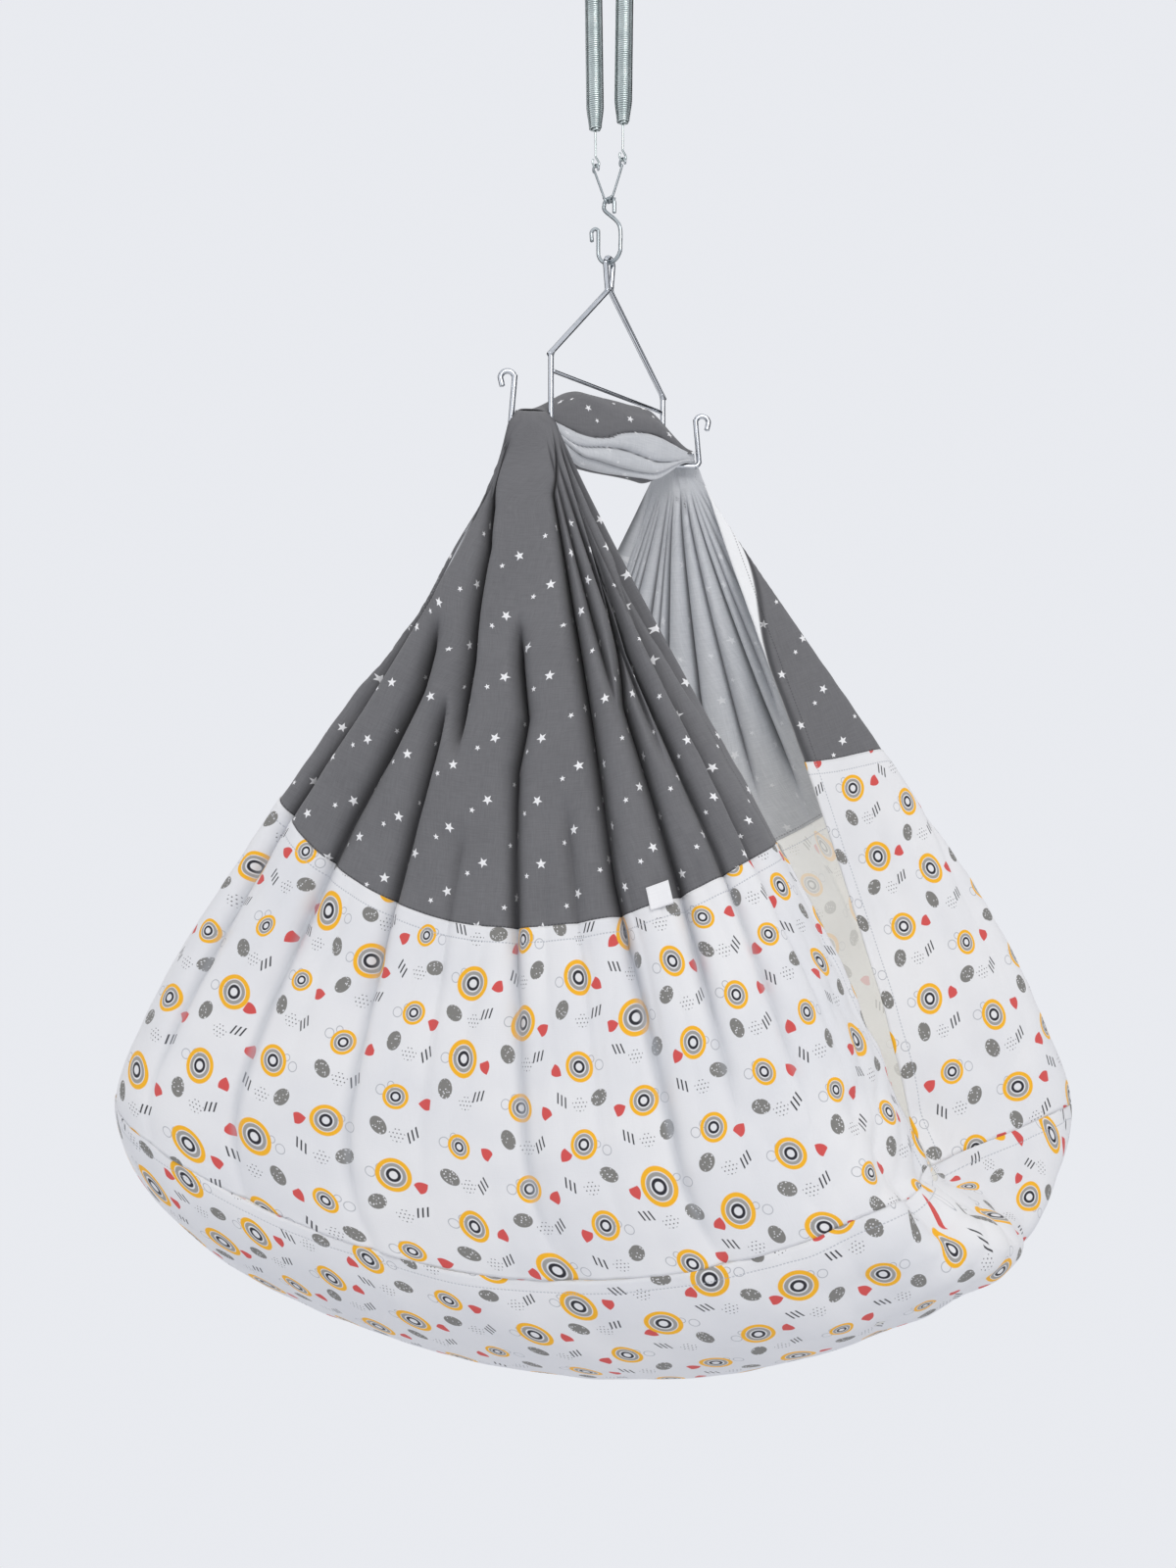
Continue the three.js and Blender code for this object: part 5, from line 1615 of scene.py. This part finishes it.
pad_s = np.linspace(-1, 1, PAD_ROWS)
pad_f = np.linspace(-1, 1, PAD_COLUMNS)
floor_points = pad_place(pad_s * PAD_HALF_LENGTH_SHARE, np.tile(pad_f * PAD_HALF_WIDTH, (PAD_ROWS, 1)))
inward = -surface_normals(floor_points)
ends_in, sides_in = (np.sqrt(np.clip(1 - axis**PAD_CORNER_POWER, 0, 1)) for axis in (pad_s, pad_f))
drawn_in = ends_in[:, None] * sides_in[None, :]
lift = SAG_HEIGHT + CLEARANCE + PAD_LIFT
channels = CHANNEL_RISE * np.sqrt(np.abs(np.sin(pad_s * math.pi * PAD_CHANNELS)))[:, None] * drawn_in
rise = PAD_THICKNESS * (PAD_EDGE_SHARE + PAD_CROWN_SHARE * drawn_in) + channels
top = floor_points + inward * (lift + rise)[..., None]
underside = floor_points + inward * lift
cover_colours = (srgb(224, 223, 219), srgb(212, 211, 208), srgb(150, 150, 150))
edge_colours = (srgb(58, 58, 62), srgb(44, 44, 48), srgb(20, 20, 22))
pad_cover = grey_cotton("pad_cover_cotton", cover_colours, 0.0)
pad_edge = grey_cotton("pad_edge_cotton", edge_colours, 0.0)


def closed_pad():
    """Top and underside grids joined round their edges by one strip of faces."""
    rows, columns = PAD_ROWS, PAD_COLUMNS
    count = rows * columns
    upper = grid_faces(rows, columns, flip=True)
    lower = grid_faces(rows, columns) + count
    index = np.arange(count).reshape(rows, columns)
    loop = np.concatenate([index[0, :-1], index[:-1, -1], index[-1, :0:-1], index[:0:-1, 0]])
    after = np.roll(loop, -1)
    side = np.stack([loop, after, after + count, loop + count], axis=-1)
    points = np.concatenate([top.reshape(-1, 3), underside.reshape(-1, 3)])
    return points, np.concatenate([upper, lower, side]), len(side)


pad_points, pad_faces, edge_count = closed_pad()
pad_flat = np.meshgrid(pad_s * PAD_FLAT_HALF_LENGTH, pad_f * PAD_HALF_WIDTH, indexing="ij")
pad_uv = np.tile(np.stack(pad_flat, axis=-1), (2, 1, 1))
pad = new_object("sleeping_cushion", pad_points, pad_faces, pad_uv, [pad_cover, pad_edge])
edge_index = np.zeros(len(pad_faces), np.int32)
edge_index[-edge_count:] = 1
pad.data.polygons.foreach_set("material_index", edge_index)
add_values(pad, from_seam=np.ones(len(pad_points)))
place_piece(pad, "cradle", "pad_cover", "sleeping_pad")

# %% [markdown]
# Side tag
#
# A small folded tape is caught in the seam, on a crest between two pleats. It is a flat square that
# stands off the cloth by a little and curls at its lower corners, and it is blank.

# %% Tag
TAG_SHARE = 0.45
TAG_DROP = 3 * MM
TAG_LIFT = 2.5 * MM
TAG_CURL = 1.5 * MM
TAG_ROWS = 13


def tag_grid():
    """A small square on the crest beside TAG_SHARE, level with the seam and curled at its corners."""
    s = TAG_SHARE + np.array([-0.01, 0.01])
    paths = threads(s, NEAR_WALL)
    seam = np.interp(s, fine_s, seam_length(NEAR_WALL))
    lengths = seam[:, None] + np.array([[-TAG_SIZE, 0.0]])
    upper, lower = along_threads(paths, distances(paths), lengths).mean(axis=0)
    left, right = along_threads(paths, distances(paths), lengths)[:, 1]
    down = unit(lower - upper)
    across = unit(right - left)
    outward = unit(np.cross(across, -down))
    a, b = np.meshgrid(np.linspace(-0.5, 0.5, TAG_ROWS), np.linspace(0, 1, TAG_ROWS), indexing="ij")
    curl = TAG_LIFT + TAG_CURL * (4 * a * a * b + 0.5 * np.sin(3 * b + 2 * a))
    points = lower + across * (a * TAG_SIZE)[..., None] + outward * curl[..., None]
    points = points + down * (TAG_DROP - (1 - b) * TAG_SIZE)[..., None]
    return points, np.stack([a * TAG_SIZE, b * TAG_SIZE], axis=-1)


tag_points, tag_uv = tag_grid()
tape_colours = (srgb(243, 243, 245), srgb(234, 234, 237), srgb(190, 190, 195))
tag_white = grey_cotton("tag_tape", tape_colours, 0.0)
tag = new_object("seam_tag", tag_points, grid_faces(TAG_ROWS, TAG_ROWS), tag_uv, [tag_white])
add_values(tag, from_seam=np.ones(tag_points.shape[:2]))
thicken(tag, TAG_THICKNESS)
place_piece(tag, "cradle", "tag_tape", "side_tag")

# %% [markdown]
# Studio
#
# The floor and the background are one pale grey-blue. Camera, mirror and glass rays see that
# colour itself, and all other rays get a plain soft light. Four black cards stand round the
# cradle and are seen by mirror rays alone: they draw the dark edges that make chrome look like
# chrome. Each card has a name, an azimuth in degrees and half its width.

# %% Studio
BACKDROP = srgb(232, 234, 239)
FLOOR_HEIGHT = -2.02
FLOOR_REACH = 12
FLOOR_SHADOW = 0.1
SKY_BELOW = (0.38, 0.385, 0.40, 1.0)
SKY_ABOVE = (0.98, 0.985, 1.0, 1.0)
SKY_STRENGTH = 0.74
CARD_COLOUR = (0.01, 0.01, 0.012, 1.0)
CARD_DISTANCE = 2.4
CARD_HALF_HEIGHT = 2.2
CARD_MIDDLE = -0.6
CARDS = (("right", 2, 0.7), ("behind", 60, 1.0), ("beyond", 118, 1.0), ("left", 182, 0.9))


def backdrop_mask(g):
    """1 for rays that should see the plain background colour."""
    rays = [g.node("ShaderNodeLightPath", output=k) for k in (0, 3, 6)]
    return rays[0].larger(rays[1]).larger(rays[2])


def build_world():
    """World: background colour for the rays of the mask, else a soft light, dimmer from below."""
    g = Graph("studio", world=True)
    seen = g.node("ShaderNodeBackground", None, {0: BACKDROP, 1: 1.0})
    direction = g.node("ShaderNodeTexCoord")
    upward = g.node("ShaderNodeSeparateXYZ", None, {0: direction}, output=2)
    sky = g.mix(SKY_BELOW, SKY_ABOVE, upward.ramp(-0.7, 0.6))
    light = g.node("ShaderNodeBackground", None, {0: sky, 1: SKY_STRENGTH})
    mixed = g.node("ShaderNodeMixShader", None, {0: backdrop_mask(g), 1: light, 2: seen})
    return g.surface(mixed)


def floor_material():
    """Mostly the background colour itself, with a little that takes light and shadow."""
    g = Graph("studio_floor")
    glow = g.node("ShaderNodeEmission", None, {0: BACKDROP, 1: 1.0})
    matt = g.node("ShaderNodeBsdfDiffuse", None, {0: BACKDROP})
    place = g.node("ShaderNodeTexCoord", output=3)
    distance = g.node("ShaderNodeVectorMath", {"operation": "LENGTH"}, {0: place}, output=1)
    part = backdrop_mask(g) * (1 - distance.ramp(1.4, 0.2) * FLOOR_SHADOW)
    return g.surface(g.node("ShaderNodeMixShader", None, {0: part, 1: matt, 2: glow}))


def add_plane(name, centre, first, second, material):
    """A flat rectangle from its centre and its two half sides."""
    centre, first, second = (np.array(x, float) for x in (centre, first, second))
    signs = ((-1, -1), (1, -1), (1, 1), (-1, 1))
    corners = np.array([centre + a * first + b * second for a, b in signs])
    return new_object(name, corners, [[0, 1, 2, 3]], materials=[material])


def add_lamp(name, location, target, size, power, colour):
    """A square soft lamp that points at a target."""
    data = bpy.data.lights.new(name, "AREA")
    data.shape = "SQUARE"
    data.size = size
    data.energy = power
    data.color = colour
    lamp = bpy.data.objects.new(name, data)
    lamp.location = location
    direction = np.array(target, float) - np.array(location, float)
    yaw = math.atan2(direction[1], direction[0]) - math.pi / 2
    pitch = math.atan2(direction[2], math.hypot(direction[0], direction[1]))
    lamp.rotation_euler = (math.pi / 2 + pitch, 0, yaw)
    bpy.context.scene.collection.objects.link(lamp)
    return lamp


# %% Background, floor, cards and lamps
bpy.context.scene.world = build_world()
floor = add_plane(
    "floor", (0, 0, FLOOR_HEIGHT), (FLOOR_REACH, 0, 0), (0, FLOOR_REACH, 0), floor_material()
)

card_graph = Graph("black_card")
card_black = card_graph.surface(card_graph.node("ShaderNodeEmission", None, {0: CARD_COLOUR, 1: 1.0}))
for label, azimuth, half_width in CARDS:
    centre = at(level_direction(math.radians(azimuth)), CARD_DISTANCE, CARD_MIDDLE)
    to_side = level_direction(math.radians(azimuth + 90)) * half_width
    card = add_plane(f"card_{label}", centre, to_side, UP * CARD_HALF_HEIGHT, card_black)
    card.visible_camera = False
    card.visible_diffuse = False
    card.visible_shadow = False
    card.visible_transmission = False

key = add_lamp(
    "key_lamp", (1.9, -2.9, 1.1), target=(0, 0, -1.15), size=2.0, power=52, colour=(1.0, 0.985, 0.965)
)
fill = add_lamp(
    "fill_lamp", (-2.6, -1.2, -0.2), target=(0, 0, -1.2), size=2.6, power=8, colour=(0.97, 0.98, 1.0)
)
print("lamps:", key.data.energy, fill.data.energy)

# %% Finish
bpy.context.scene.view_settings.view_transform = "Standard"
